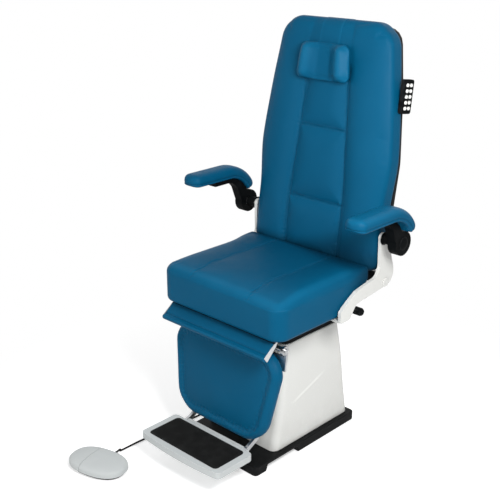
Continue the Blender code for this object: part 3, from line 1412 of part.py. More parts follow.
def arc_through(start, end, bulge, steps):
    """Arc between two points of one y, bowed towards -Y by its bulge."""
    half = (end[0] - start[0]) / 2
    radius = (half ** 2 + bulge ** 2) / (2 * bulge)
    centre = ((start[0] + end[0]) / 2, start[1] - bulge + radius)
    reach = math.asin(half / radius)
    return arc(centre, radius, -math.pi / 2 - reach, -math.pi / 2 + reach, steps)


def rounded_ends(front_arc, half, rear, radius):
    """Footplate plan: bowed front, straight sides and rear, with rounded corners."""
    inner = [p for p in front_arc if abs(p[0]) < half - radius]
    corners = [(p[0], p[1], 0.0) for p in inner]
    corners += [(half, front_arc[-1][1], radius), (half, rear, radius), (-half, rear, radius)]
    corners += [(-half, front_arc[0][1], radius)]
    return filleted(corners)


def arm_path(offset):
    """Side line of the arm pad's underside, moved out by an offset: straight, then bent down."""
    centre = (ARM_PIVOT_Y - ARM_BEND_AHEAD, ARM_PIVOT_Z)
    radius = ARM_BEND_R + offset
    bend = arc(centre, radius, math.pi / 2, ARM_BEND_TO, 8)
    tip = centre[0] - ARM_STRAIGHT
    lead = [(tip + ARM_STRAIGHT * share, ARM_PIVOT_Z + radius) for share in (0.0, 0.25, 0.5, 0.75)]
    return lead + bend


def build_arm(mats, side, hand):
    """Arm rest: padded top on a black bracket whose hub turns on the side bracket's spindle."""
    group = "arm_" + hand
    under, over = arm_path(0.0), arm_path(ARM_PAD_T)
    x = side * ARM_X
    rings = []
    for share in (0.0, 0.3):
        forward = ARM_PAD_TIP_R * (1 - share)
        width = ARM_TIP_WIDTH + (1 - ARM_TIP_WIDTH) * math.sqrt(share)
        rings.append(pad_ring(x, under[0], over[0], forward, width, ARM_TAIL_SINK * (1 - share)))
    for low, high in zip(under, over):
        rings.append(pad_ring(x, low, high))
    last_low, last_high = under[-1], over[-1]
    rings.append(pad_ring(x, last_low, last_high, 0.0, 0.8, ARM_TAIL_SINK, ARM_TAIL_L))
    add_piece("arm_pad_" + hand, loft(rings), mats["vinyl"], group)

    top = arm_path(-GAP)
    bottom = arm_path(-GAP - ARM_STRIP_T)
    hub = (ARM_PIVOT_Y, ARM_PIVOT_Z)
    first = 1 + sum(1 for p in top if p[0] < top[0][0] + ARM_STRIP_SHORT)
    outline = [(p[0], p[1], 0.0) for p in bottom[first - 1:4]]
    outline += [
        (hub[0] - ARM_BEND_AHEAD + ARM_STRIP_T, bottom[0][1], ARM_HUB_R),
        (hub[0] - ARM_NECK, hub[1] + ARM_NECK, ARM_FILLET),
        (hub[0] - ARM_HUB_R * 0.9, hub[1], ARM_FILLET), (hub[0], hub[1] - ARM_HUB_R / 2, ARM_FILLET / 3),
        (hub[0] + ARM_HUB_R / 2, hub[1], ARM_FILLET / 3),
    ]
    outline += [(p[0], p[1], 0.0) for p in reversed(top[first - 1:])]
    start = side * ARM_HUB_X
    plate = prism(filleted(outline), start, start + side * ARM_HUB_L, along_x)
    barrel = rod((start, *hub), side * ARM_HUB_L, ARM_HUB_R, "X", TURNED_SIDES)
    bore = rod((start - side * RUN, *hub), side * (SPINDLE_L + 2 * RUN), bore_r(SPINDLE_R), "X")
    add_piece("arm_bracket_" + hand, plate, mats["black"], group, plus=[barrel], minus=[bore])


def pad_section():
    """Arm pad's section in shares of its half width and height: a flat sole under a domed top."""
    points = [(-ARM_SOLE_SHARE, 0.0), (ARM_SOLE_SHARE, 0.0)]
    for i in range(ARM_DOME_STEPS + 1):
        angle = math.pi * i / ARM_DOME_STEPS
        across = math.copysign(abs(math.cos(angle)) ** 0.7, math.cos(angle))
        points.append((across, ARM_DOME_FROM + (1 - ARM_DOME_FROM) * abs(math.sin(angle)) ** 0.8))
    return points


def pad_ring(x, low, high, forward=0.0, width=1.0, sink=0.0, drop=0.0):
    """Rounded section of an arm pad between its underside and top, moved forward at the tip."""
    low, high = Vector(low), Vector(high)
    up = high - low
    run = Vector((up.y, -up.x)).normalized()
    low = low - run * forward + up * sink * 0.5 + run * drop
    up = up * (1 - sink)
    half = ARM_PAD_HALF_W * width
    ring = []
    for across, height in pad_section():
        point = low + up * height
        ring.append(Vector((x + across * half, point.x, point.y)))
    return ring


def build_lever(mats):
    """Release lever that swings on a block on the tray's side, with a two-stage knob."""
    pivot_x = TRAY_HALF_W + LEVER_PIVOT_OUT
    top = TRAY_TOP_Z - LEVER_BLOCK_DROP
    low = top - LEVER_BLOCK_T
    half = LEVER_BLOCK_D / 2
    block = box(
        (TRAY_HALF_W + GAP, LEVER_Y - half, low), (pivot_x + LEVER_EYE_R, LEVER_Y + half, top)
    )
    pin = rod((pivot_x, LEVER_Y, top - RUN), LEVER_EYE_T + 2 * RUN, LEVER_PIN_R, "Z")
    add_piece("lever_block", block, mats["dark_steel"], "carriage", plus=[pin])

    eye_z = top + GAP
    eye = rod((pivot_x, LEVER_Y, eye_z), LEVER_EYE_T, LEVER_EYE_R, "Z", TURNED_SIDES)
    mid = eye_z + LEVER_EYE_T / 2
    reach = LEVER_L - KNOB_L / 2
    shaft = rod((pivot_x + LEVER_EYE_R / 2 + LEVER_PIN_R, LEVER_Y, mid), reach, LEVER_ROD_R, "X", 8)
    hole = rod((pivot_x, LEVER_Y, eye_z - RUN), LEVER_EYE_T + 2 * RUN, bore_r(LEVER_PIN_R), "Z")
    # The rod is a little thicker than the eye, so it is trimmed flat under the eye's level.
    trim_low = (pivot_x, LEVER_Y - KNOB_R, low - RUN)
    trim = box(trim_low, (pivot_x + LEVER_EYE_R + 2 * RUN, LEVER_Y + KNOB_R, eye_z))
    add_piece("lever_rod", eye, mats["dark_steel"], "lever", plus=[shaft], minus=[hole, trim])

    end = pivot_x + LEVER_EYE_R / 2 + LEVER_PIN_R + reach
    start = end - KNOB_L / 2
    profile = [
        (KNOB_NECK_R, 0.0), (KNOB_NECK_R, 0.3 * KNOB_L), (KNOB_R, 0.36 * KNOB_L), (KNOB_R, 0.9 * KNOB_L),
        (0.75 * KNOB_R, KNOB_L),
    ]
    socket = rod((start - RUN, LEVER_Y, mid), KNOB_L / 2 + RUN + GAP, LEVER_ROD_R + GAP, "X", 8)
    knob = turned(profile, (start, LEVER_Y, mid), "X", SMALL_SIDES)
    add_piece("lever_knob", knob, mats["black"], "lever", minus=[socket])


def oval(half_l, half_w, sides=24):
    """Squarish oval of the foot switch's plan."""
    points = []
    for i in range(sides):
        c, s = math.cos(math.tau * i / sides), math.sin(math.tau * i / sides)
        x = math.copysign(abs(c) ** (2 / SWITCH_POWER), c) * half_l
        points.append((x, math.copysign(abs(s) ** (2 / SWITCH_POWER), s) * half_w))
    return points


def switch_dome(inset, low, high):
    """Low dome on the foot switch's oval plan."""
    rings = []
    for i in range(SWITCH_DOME_RINGS):
        rise = math.sin(0.97 * math.pi / 2 * i / (SWITCH_DOME_RINGS - 1))
        share = (1 - rise ** SWITCH_DOME_POWER) ** (1 / SWITCH_POWER)
        plan = oval((SWITCH_HALF_L - inset) * share, (SWITCH_HALF_W - inset) * share)
        level = low + (high - low) * rise
        rings.append([switch_point(x, y, level) for x, y in plan])
    return loft(rings)


def switch_box(low, high):
    """Box in foot-switch coordinates."""
    outline = [(low[0], low[1]), (high[0], low[1]), (high[0], high[1]), (low[0], high[1])]
    return prism(outline, low[2], high[2], lambda z, x, y: switch_point(x, y, z))


def relief_rod(radius_root, radius_tip, start_y, length, sides=SMALL_SIDES):
    """Tapered round bar along the foot switch's own +y, low over the floor."""
    rings = []
    for radius, y in ((radius_root, start_y), (radius_tip, start_y + length)):
        level = RELIEF_ROOT_R + RUN / 3
        rings.append([switch_point(RELIEF_X + a, y, level + b) for a, b in circle((0, 0), radius, sides)])
    return loft(rings)


def relief_start():
    """Foot-switch y of the sole's rear edge at the cord relief."""
    half_l, half_w = SWITCH_HALF_L - SOLE_INSET, SWITCH_HALF_W - SOLE_INSET
    share = 1 - abs(RELIEF_X / half_l) ** SWITCH_POWER
    return half_w * share ** (1 / SWITCH_POWER)


def build_foot_switch(mats):
    """Foot switch: sole with a middle ridge, two rocking half domes and the cord's strain relief."""
    plan = oval(SWITCH_HALF_L - SOLE_INSET, SWITCH_HALF_W - SOLE_INSET)
    sole = prism(plan, 0.0, SOLE_T, lambda z, x, y: switch_point(x, y, z))
    ridge_low = (SPLIT_X - RIDGE_HALF_W, -RIDGE_HALF_L, SOLE_T / 2)
    ridge = switch_box(ridge_low, (SPLIT_X + RIDGE_HALF_W, RIDGE_HALF_L, RIDGE_H))
    add_piece("switch_sole", sole, mats["rubber"], plus=[ridge])

    start = relief_start() + GAP
    relief = relief_rod(RELIEF_ROOT_R, RELIEF_TIP_R, start, RELIEF_L)
    add_piece("switch_cord_relief", relief, mats["rubber"])

    big = SWITCH_HALF_L + SWITCH_HALF_W
    seat = RIDGE_H + GAP
    boss_top = SWITCH_H - 0.8 * SWITCH_WALL
    for side, hand in ((1, "left"), (-1, "right")):
        edge = SPLIT_X + side * SPLIT_HALF_GAP
        shell = switch_dome(0.0, SWITCH_SKIRT, SWITCH_H)
        hollow = switch_dome(SWITCH_WALL, -SWITCH_SKIRT, SWITCH_H - SWITCH_WALL)
        half_space = switch_box(*sorted_corners((edge, -big, -big), (edge - side * big, big, big)))
        notch = relief_rod(RELIEF_ROOT_R + RELIEF_NOTCH, RELIEF_ROOT_R + RELIEF_NOTCH, 0.0, big)
        boss = switch_box(*sorted_corners(
            (edge + side * GAP, -RIDGE_HALF_L, seat), (edge + side * PEDAL_BOSS_W, RIDGE_HALF_L, boss_top)
        ))
        name = "pedal_" + hand
        add_piece(name, shell, mats["grey"], name, minus=[hollow, half_space, notch], late=[boss])


def sorted_corners(first, second):
    """Low and high corner of a box given by any two opposite corners."""
    low = tuple(min(a, b) for a, b in zip(first, second))
    high = tuple(max(a, b) for a, b in zip(first, second))
    return low, high


def smooth_route(points, step):
    """Even points on the smooth curve through a route's own points."""
    knots = [Vector(p) for p in points]
    dense = []
    for i in range(len(knots) - 1):
        before = knots[max(i - 1, 0)]
        after = knots[min(i + 2, len(knots) - 1)]
        a, b = knots[i], knots[i + 1]
        for k in range(24):
            t = k / 24
            bend = (b - before) * (t - 2 * t ** 2 + t ** 3) / 2 + (after - a) * (t ** 3 - t ** 2) / 2
            dense.append(a * (1 - 3 * t ** 2 + 2 * t ** 3) + b * (3 * t ** 2 - 2 * t ** 3) + bend)
    dense.append(knots[-1])
    even = [dense[0]]
    walked = 0.0
    for a, b in zip(dense, dense[1:]):
        walked += (b - a).length
        if walked >= step:
            even.append(b)
            walked = 0.0
    if (even[-1] - dense[-1]).length < step / 2:
        even.pop()
    even.append(dense[-1])
    return even


def build_cord(mats):
    """Foot-switch cord on the floor, from its relief round the base's right side to the gland."""
    relief_end = relief_start() + GAP + RELIEF_L + GAP
    low = RELIEF_ROOT_R + RUN / 3
    lead = [switch_point(RELIEF_X, relief_end + step * CORD_STEP, low) for step in (0, 1)]
    gland_end = PLATE_REAR + GAP + GLAND_NUT_T + GLAND_DOME_L + GAP
    tail = [(GLAND_X, gland_end + step * CORD_STEP, PLATE_T / 2) for step in (1, 0)]
    points = smooth_route([*lead, *CORD_ROUTE, *tail], CORD_STEP)
    curve = bpy.data.curves.new("foot_switch_cord", "CURVE")
    curve.dimensions = "3D"
    curve.bevel_depth = CORD_R
    curve.bevel_resolution = 2
    curve.use_fill_caps = True
    spline = curve.splines.new("POLY")
    spline.points.add(len(points) - 1)
    for spot, point in zip(spline.points, points):
        spot.co = (*point, 1.0)
    curve.materials.append(mats["rubber"])
    cord = bpy.data.objects.new("foot_switch_cord", curve)
    bpy.context.scene.collection.objects.link(cord)
    cord.parent = PIVOT_EMPTIES["base"]


def add_late_pivots():
    """Pivots whose place follows from another group's coordinates."""
    PIVOTS["foot"] = (leg_point(0.0, FOOT_HINGE_DOWN, FOOT_HINGE_OUT), "leg")
    PIVOTS["pillow"] = (back_point(0.0, PILLOW_MID, BACK_FRONT), "back")
    lever_z = TRAY_TOP_Z - LEVER_BLOCK_DROP
    PIVOTS["lever"] = (Vector((TRAY_HALF_W + LEVER_PIVOT_OUT, LEVER_Y, lever_z)), "carriage")
    for number, (v, w) in enumerate(button_places(), start=1):
        PIVOTS["button_%d" % number] = (back_point(keypad_x() + KEYPAD_T, v, w), "back")
    for side, hand in ((1, "left"), (-1, "right")):
        at = switch_point(SPLIT_X + side * RIDGE_HALF_W, 0.0, RIDGE_H + GAP)
        PIVOTS["pedal_" + hand] = (at, "base")


def main():
    """Build the whole chair."""
    clear_scene()
    add_late_pivots()
    for name in PIVOTS:
        add_pivot(name)
    mats = finishes()
    build_base_plate(mats)
    build_base_cover(mats)
    build_cord_gland(mats)
    build_lift(mats)
    build_control_box(mats)
    build_shroud(mats)
    build_tray(mats)
    build_seat_cushion(mats)
    for side, hand in ((1, "left"), (-1, "right")):
        build_side_bracket(mats, side, hand)
        build_arm(mats, side, hand)
    build_actuator(mats, "back_actuator", BACK_ROD_X, -BACK_ACTUATOR_FRONT, BACK_ACTUATOR_REAR, 1)
    build_actuator(mats, "leg_actuator", LEG_ROD_X, LEG_ACTUATOR_REAR, -LEG_ACTUATOR_FRONT, -1)
    build_rod(mats, "back_rod", -BACK_ACTUATOR_FRONT, BACK_THROW, 1)
    build_rod(mats, "leg_rod", LEG_ACTUATOR_REAR, LEG_THROW, -1)
    build_back(mats)
    build_strap(mats)
    build_pillow(mats)
    build_keypad(mats)
    build_leg(mats)
    build_flap(mats)
    build_footplate(mats)
    build_lever(mats)
    build_foot_switch(mats)
    build_cord(mats)


main()
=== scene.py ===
"""Looks of a powered examination chair: upholstery, covers, metalwork and rubber over its CAD frame."""
import json
import logging
import math
from dataclasses import dataclass
from enum import Enum
from typing import Callable, Iterable, Mapping, Optional, Sequence, Union

import bmesh
import bpy
import numpy as np
from mathutils import Matrix, Vector
from mathutils.bvhtree import BVHTree

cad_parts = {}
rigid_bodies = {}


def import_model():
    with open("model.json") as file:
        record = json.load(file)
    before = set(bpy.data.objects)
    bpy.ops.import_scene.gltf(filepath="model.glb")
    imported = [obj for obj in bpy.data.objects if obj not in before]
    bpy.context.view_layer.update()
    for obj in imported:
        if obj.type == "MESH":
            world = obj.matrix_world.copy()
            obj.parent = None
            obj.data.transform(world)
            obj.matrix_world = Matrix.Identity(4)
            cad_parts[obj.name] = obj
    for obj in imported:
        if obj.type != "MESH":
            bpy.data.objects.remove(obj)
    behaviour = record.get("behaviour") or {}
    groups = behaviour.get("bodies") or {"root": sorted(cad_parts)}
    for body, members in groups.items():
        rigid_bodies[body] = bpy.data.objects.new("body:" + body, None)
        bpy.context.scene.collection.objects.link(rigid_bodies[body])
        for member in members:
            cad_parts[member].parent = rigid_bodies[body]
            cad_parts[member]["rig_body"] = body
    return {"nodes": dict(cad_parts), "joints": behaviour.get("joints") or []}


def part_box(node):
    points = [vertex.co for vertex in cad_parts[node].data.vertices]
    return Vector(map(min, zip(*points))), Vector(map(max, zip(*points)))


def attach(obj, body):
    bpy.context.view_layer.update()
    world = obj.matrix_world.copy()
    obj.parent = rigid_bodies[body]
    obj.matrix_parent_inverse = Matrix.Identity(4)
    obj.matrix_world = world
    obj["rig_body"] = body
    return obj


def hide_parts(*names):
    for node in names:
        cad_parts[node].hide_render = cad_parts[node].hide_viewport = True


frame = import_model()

LOG = logging.getLogger("examination_chair")
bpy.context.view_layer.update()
PIVOTS = {joint["name"]: Vector(joint["pos_m"]) for joint in frame["joints"]}
# Height of the cover's crease at the lift's axis, and its slope towards the rear.
COVER_CREASE = (0.220, 0.345)
# Angles in degrees over which an edge is shaded as an edge: of hard pieces, and of soft or thin ones.
CRISP, SOFT = 40.0, 50.0
ACROSS, REAR, UP = Vector((1, 0, 0)), Vector((0, 1, 0)), Vector((0, 0, 1))
Triple = tuple[float, float, float]
Colour = Triple
Floats = np.ndarray
Skin = tuple[Floats, list]
Profile = Sequence[tuple[float, float]]
Tone = Callable[[Floats, Floats], Floats]


class Hand(Enum):
    """Side of the chair, as the sitter names it; the value is the sign of X."""

    LEFT = 1
    RIGHT = -1

    @property
    def word(self) -> str:
        """The side as the CAD's names have it."""
        return self.name.lower()


class Brush(Enum):
    """Direction in which a metal's fine scratches run; the value stretches the noise."""

    ACROSS = (20.0, 900.0, 900.0)
    ALONG = (900.0, 20.0, 900.0)
    UPRIGHT = (900.0, 900.0, 20.0)


# Node toolkit


def operator(operation: str, reflected: bool = False) -> Callable[["Sock", "Value"], "Sock"]:
    """Arithmetic operator of a socket.

    Args:
        operation: the Math node's operation.
        reflected: whether the other value stands in front.

    Returns:
        The method, which adds the Math node.
    """
    def method(self: "Sock", other: "Value") -> "Sock":
        """Add the Math node."""
        pair = (other, self) if reflected else (self, other)
        return self.nodes.node("ShaderNodeMath", {"operation": operation}, dict(enumerate(pair)))

    return method


class Sock:
    """Output socket of a node tree; arithmetic on it adds Math nodes."""

    def __init__(self, nodes: "Nodes", socket: bpy.types.NodeSocket) -> None:
        """Keep the socket and the tree that it is in."""
        self.nodes, self.socket = nodes, socket

    __add__, __radd__ = operator("ADD"), operator("ADD", True)
    __sub__, __rsub__ = operator("SUBTRACT"), operator("SUBTRACT", True)
    __mul__, __rmul__ = operator("MULTIPLY"), operator("MULTIPLY", True)
    __truediv__, __rtruediv__ = operator("DIVIDE"), operator("DIVIDE", True)

    def clamp(self) -> "Sock":
        """Hold between 0 and 1."""
        return self.nodes.node("ShaderNodeClamp", {}, {"Value": self})

    def step(self, low: float, high: float) -> "Sock":
        """Smooth rise from 0 at the low level to 1 at the high one."""
        ends = {"Value": self, "From Min": low, "From Max": high}
        return self.nodes.node("ShaderNodeMapRange", {"interpolation_type": "SMOOTHSTEP"}, ends)


Value = Union[float, tuple, Sock]


class Nodes:
    """Node tree of a material, a world or a repeat."""

    def __init__(self, tree: bpy.types.NodeTree) -> None:
        """Keep the tree."""
        self.tree = tree

    def feed(self, socket: bpy.types.NodeSocket, value: Value) -> None:
        """Link an input to another node's output, or set its own value."""
        if isinstance(value, Sock):
            self.tree.links.new(value.socket, socket)
        else:
            socket.default_value = value

    def node(
        self, kind: str, settings: Optional[Mapping] = None, inputs: Optional[Mapping] = None,
        out: Union[int, str] = 0,
    ) -> Sock:
        """Add any node.

        Args:
            kind: the node's type name.
            settings: its properties, set before its sockets.
            inputs: values or links of its sockets, by name or number.
            out: the output to return.

        Returns:
            That output.
        """
        made = self.tree.nodes.new(kind)
        for key, value in (settings or {}).items():
            setattr(made, key, value)
        for key, value in (inputs or {}).items():
            self.feed(made.inputs[key], value)
        return Sock(self, made.outputs[out])

    def mix(self, share: Sock, first: Sock, second: Sock) -> Sock:
        """Mix of two shaders."""
        return self.node("ShaderNodeMixShader", {}, {0: share, 1: first, 2: second})


class Shading(Nodes):
    """One material's tree around its Principled shader."""

    def __init__(self, name: str) -> None:
        """Start an empty material."""
        self.material = bpy.data.materials.new(name)
        self.material.use_nodes = True
        super().__init__(self.material.node_tree)
        self.shader = self.tree.nodes["Principled BSDF"]

    def place(self) -> Sock:
        """Object coordinates, in metres."""
        return self.node("ShaderNodeTexCoord", out="Object")

    def axis(self, name: str) -> Sock:
        """Object coordinate X, Y or Z."""
        return self.node("ShaderNodeSeparateXYZ", {}, {0: self.place()}, out=name)

    def stretched(self, scale: Triple) -> Sock:
        """Object coordinates with each axis scaled."""
        return self.node("ShaderNodeMapping", {}, {"Vector": self.place(), "Scale": scale})

    def noise(self, scale: float, detail: float = 3.0, at: Optional[Sock] = None) -> Sock:
        """Cloudy noise from 0 to 1.

        Args:
            scale: features per metre.
            detail: number of finer layers.
            at: coordinates other than the object's own.

        Returns:
            The noise value.
        """
        inputs = {"Vector": at or self.place(), "Scale": scale, "Detail": detail}
        return self.node("ShaderNodeTexNoise", {}, inputs)

    def cells(self, scale: float) -> Sock:
        """Distance to the edge of irregular cells, as in a leather grain."""
        inputs = {"Vector": self.place(), "Scale": scale}
        return self.node("ShaderNodeTexVoronoi", {"feature": "DISTANCE_TO_EDGE"}, inputs)

    def attribute(self, name: str) -> Sock:
        """Value that the piece's mesh carries."""
        return self.node("ShaderNodeAttribute", {"attribute_name": name}, out="Fac")

    def blend(self, share: Value, first: Value, second: Value) -> Sock:
        """Mix of two colours.

        Args:
            share: 0 for the first, 1 for the second.
            first: a colour.
            second: a colour.

        Returns:
            The mixed colour.
        """
        first, second = (c if isinstance(c, Sock) else (*c, 1.0) for c in (first, second))
        return self.node("ShaderNodeMix", {"data_type": "RGBA"}, {0: share, 6: first, 7: second}, out=2)

    def bump(self, height: Sock, depth: float, strength: float) -> None:
        """Feed a height map of a depth in metres to the shader's normal."""
        inputs = {"Height": height, "Distance": depth, "Strength": strength}
        self.feed(self.shader.inputs["Normal"], self.node("ShaderNodeBump", {}, inputs))

    def set(self, **values: Value) -> bpy.types.Material:
        """Set the shader's sockets.

        Args:
            **values: numbers, colours or links, named as the sockets in lower case with underscores.

        Returns:
            The material.
        """
        names = {socket.name.lower().replace(" ", "_"): socket for socket in self.shader.inputs}
        for key, value in values.items():
            self.feed(names[key], (*value, 1.0) if isinstance(value, tuple) else value)
        return self.material


# Finishes


@dataclass(frozen=True)
class Vinyl:
    """Satin upholstery vinyl with a pressed leather grain, darker in its seams and under painted shade,
    paler where worn on its rolls and under painted highlight.
    """

    name: str = "petrol_blue_vinyl"
    base: Colour = (0.0012, 0.078, 0.162)
    deep: Colour = (0.0006, 0.024, 0.052)
    # Paler colour of both wear and painted highlight.
    wear_and_highlight: Colour = (0.0050, 0.118, 0.232)
    grain_per_m: float = 620.0
    grain_depth: float = 0.00022
    gloss: float = 0.40

    def make(self) -> bpy.types.Material:
        """Build the material."""
        s = Shading(self.name)
        seam = s.attribute("seam")
        # The edge value is rolled-edge wear, raised by painted highlight on the seat's roll, the pillow's
        # lobes and an arm pad's top.
        worn = s.attribute("edge").step(0.10, 0.75)
        colour = s.blend(((s.noise(7.0, 4.0) - 0.5) * 0.6 + worn * 0.5).clamp(), self.base, self.wear_and_highlight)
        # The seam value darkens the sewn lines and holds painted shade beside the seat-back joint, over the
        # seat's top and on the flap under the seat.
        colour = s.blend((seam * 0.6).clamp(), colour, self.deep)
        pores = s.cells(self.grain_per_m).step(0.0, 0.16)
        fine = s.noise(self.grain_per_m * 2.3, 2.0)
        s.bump(pores * 0.7 + fine * 0.3, self.grain_depth, 0.55)
        rough = self.gloss + (s.noise(38.0) - 0.5) * 0.12 - worn * 0.06 + seam * 0.15
        return s.set(base_color=colour, roughness=rough, specular_ior_level=0.06)


@dataclass(frozen=True)
class Enamel:
    """Smooth gloss coat on a moulded cover or bent steel, with a faint ripple, soft grime low down and a
    painted highlight along an optional crease.
    """

    name: str
    base: Colour
    grime: Colour
    gloss: float = 0.22
    ripple_depth: float = 0.00010
    grime_top: float = 0.0
    crease: Optional[tuple[float, float]] = None
    crease_w: float = 0.0075
    crease_depth: float = 0.0012
    crease_y: float = -0.010
    crease_full: float = 0.040
    crease_end: float = 0.095
    # Gain of the painted highlight along the crease.
    crease_painted_highlight: float = 1.18

    def ridge(self, s: Shading) -> Sock:
        """Height of the crease, from 0 beside it to 1 along its middle, which also weights its painted
        highlight.
        """
        level, slope = self.crease
        y = s.axis("Y")
        off = (s.axis("Z") - (y * slope + level)) / self.crease_w
        along = y - self.crease_y
        ends = (along * along).step(self.crease_full ** 2, self.crease_end ** 2)
        return (1.0 - off * off).clamp() * (1.0 - ends)

    def make(self) -> bpy.types.Material:
        """Build the material."""
        s = Shading(self.name)
        share = (s.noise(4.5, 4.0) - 0.35) * 0.22 + s.attribute("edge").step(0.15, 0.9) * 0.10
        if self.grime_top > 0:
            low = 1.0 - s.axis("Z").step(0.0, self.grime_top)
            share = share + low * s.noise(22.0, 5.0).step(0.35, 0.75) * 0.35
        colour = s.blend(share.clamp(), self.base, self.grime)
        height, depth, strength = s.noise(130.0, 2.0), self.ripple_depth, 0.35
        if self.crease:
            ridge = self.ridge(s)
            # Painted highlight: the base colour made lighter along the crease.
            light = tuple(min(1.0, self.crease_painted_highlight * c) for c in self.base)
            colour = s.blend(ridge * 0.8, colour, light)
            height = height * (self.ripple_depth / self.crease_depth) + ridge
            depth, strength = self.crease_depth, 0.6
        s.bump(height, depth, strength)
        scuff = s.noise(9.0, 6.0, s.stretched((3.0, 40.0, 12.0))).step(0.60, 0.78)
        rough = self.gloss + scuff * 0.16
        return s.set(base_color=colour, roughness=rough, coat_weight=0.25, coat_roughness=0.12)


@dataclass(frozen=True)
class Moulded:
    """Moulded plastic with a fine spark grain and paler rubbed edges."""

    name: str
    base: Colour
    wear_and_highlight: Colour
    grain_per_m: float = 900.0
    grain_depth: float = 0.00012
    gloss: float = 0.46
    mirror: float = 0.07

    def make(self) -> bpy.types.Material:
        """Build the material."""
        s = Shading(self.name)
        worn = s.attribute("edge").step(0.25, 0.95) * s.noise(60.0, 4.0).step(0.30, 0.65)
        dust = s.noise(12.0, 5.0).step(0.45, 0.85)
        colour = s.blend((worn * 0.55 + dust * 0.14).clamp(), self.base, self.wear_and_highlight)
        s.bump(s.noise(self.grain_per_m, 2.0), self.grain_depth, 0.5)
        rough = self.gloss + dust * 0.10 - worn * 0.08
        return s.set(base_color=colour, roughness=rough, specular_ior_level=self.mirror)


@dataclass(frozen=True)
class Plated:
    """Metal with fine scratches in one direction and small dull patches."""

    name: str
    base: Colour
    dull: Colour
    brush: Brush = Brush.ACROSS
    gloss: float = 0.30
    metal: float = 1.0
    scratch_depth: float = 0.00003

    def make(self) -> bpy.types.Material:
        """Build the material."""
        s = Shading(self.name)
        lines = s.noise(1.0, 2.0, s.stretched(self.brush.value))
        patch = s.noise(24.0, 5.0).step(0.42, 0.78)
        colour = s.blend((patch * 0.55 + (lines - 0.5) * 0.35).clamp(), self.base, self.dull)
        s.bump(lines, self.scratch_depth, 0.5)
        rough = self.gloss + (lines - 0.5) * 0.14 + patch * 0.12
        return s.set(base_color=colour, roughness=rough, metallic=self.metal)


@dataclass(frozen=True)
class EndStrip:
    """Plate painted dark blue as painted shade under the seat, bare and bright only at its ends."""

    name: str
    painted_shade_to: float = 0.2338
    # Dark blue of the painted shade.
    paint: Colour = (0.0012, 0.020, 0.040)
    bare: Colour = (0.72, 0.73, 0.74)
    scratch_depth: float = 0.00003

    def make(self) -> bpy.types.Material:
        """Build the material."""
        s = Shading(self.name)
        x = s.axis("X")
        # Painted shade on the plate's middle; its ends are bare steel.
        end = (x * x).step(self.painted_shade_to ** 2, (1.003 * self.painted_shade_to) ** 2)
        lines = s.noise(1.0, 2.0, s.stretched(Brush.ALONG.value))
        s.bump(lines, self.scratch_depth, 0.4)
        rough = 0.55 - end * 0.30 + lines * 0.1
        return s.set(base_color=s.blend(end, self.paint, self.bare), metallic=end * 0.9, roughness=rough)


@dataclass(frozen=True)
class Rubber:
    """Dull rubber with a sandy surface and grey dust in cloudy patches."""

    name: str
    base: Colour = (0.006, 0.006, 0.006)
    dust: Colour = (0.045, 0.044, 0.042)
    sand_depth: float = 0.00015

    def make(self) -> bpy.types.Material:
        """Build the material."""
        s = Shading(self.name)
        cloud = s.noise(30.0, 5.0).step(0.40, 0.80)
        s.bump(s.noise(1400.0, 2.0), self.sand_depth, 0.6)
        colour = s.blend(cloud * 0.45, self.base, self.dust)
        return s.set(base_color=colour, roughness=0.72 + cloud * 0.14, specular_ior_level=0.10)


@dataclass(frozen=True)
class Thread:
    """Twisted sewing thread."""

    name: str = "petrol_blue_thread"
    base: Colour = (0.004, 0.105, 0.215)
    shade: Colour = (0.001, 0.040, 0.090)
    strands_per_m: float = 1500.0

    def make(self) -> bpy.types.Material:
        """Build the material."""
        s = Shading(self.name)
        strands = s.noise(1.0, 1.0, s.stretched((self.strands_per_m,) * 3))
        return s.set(base_color=s.blend(strands, self.shade, self.base), roughness=0.62 + strands * 0.1)


class Finishes:
    """All finishes of the chair, each built once."""

    def __init__(self) -> None:
        """Build every material."""
        white, warm = (0.690, 0.693, 0.668), (0.500, 0.496, 0.468)
        black, worn = (0.0050, 0.0054, 0.0058), (0.034, 0.036, 0.038)
        grey, pale = (0.520, 0.545, 0.545), (0.660, 0.680, 0.680)
        steel, dull = (0.560, 0.570, 0.580), (0.330, 0.335, 0.340)
        blued, dark = (0.030, 0.031, 0.033), (0.012, 0.012, 0.013)
        self.vinyl = Vinyl().make()
        self.thread = Thread().make()
        self.cover = Enamel("warm_white_cover", white, warm, grime_top=0.16, crease=COVER_CREASE).make()
        self.bracket = Enamel("white_powder_coat", white, warm, gloss=0.34, ripple_depth=0.00014).make()
        self.plate = Moulded("black_powder_coat", black, worn, grain_per_m=650.0, gloss=0.42).make()
        self.black = Moulded("black_grained_plastic", (0.0032, 0.0038, 0.0042), worn, mirror=0.03).make()
        self.shell = Moulded("black_shell_plastic", (0.0130, 0.0135, 0.0140), worn, gloss=0.40).make()
        self.grey = Moulded("pale_grey_plastic", grey, pale, grain_per_m=700.0, gloss=0.38).make()
        self.button = Moulded("white_button", (0.80, 0.80, 0.78), (0.60, 0.60, 0.58), gloss=0.34).make()
        self.zinc = Plated("zinc_steel", steel, dull).make()
        self.strip = EndStrip("flap_plate_finish").make()
        self.tube = Plated("ground_steel", steel, dull, Brush.UPRIGHT, gloss=0.24).make()
        self.dark_steel = Plated("blacked_steel", blued, dark, metal=0.5).make()
        self.rubber = Rubber("black_rubber").make()
        self.mat = Rubber("ribbed_mat_rubber", (0.0075, 0.0078, 0.0078), (0.030, 0.031, 0.031)).make()


# Mesh toolkit


def new_piece(name: str, data: bpy.types.ID) -> bpy.types.Object:
    """Put a mesh, curve, lamp or camera into the scene as an object at the origin."""
    obj = bpy.data.objects.new(name, data)
    bpy.context.scene.collection.objects.link(obj)
    return obj


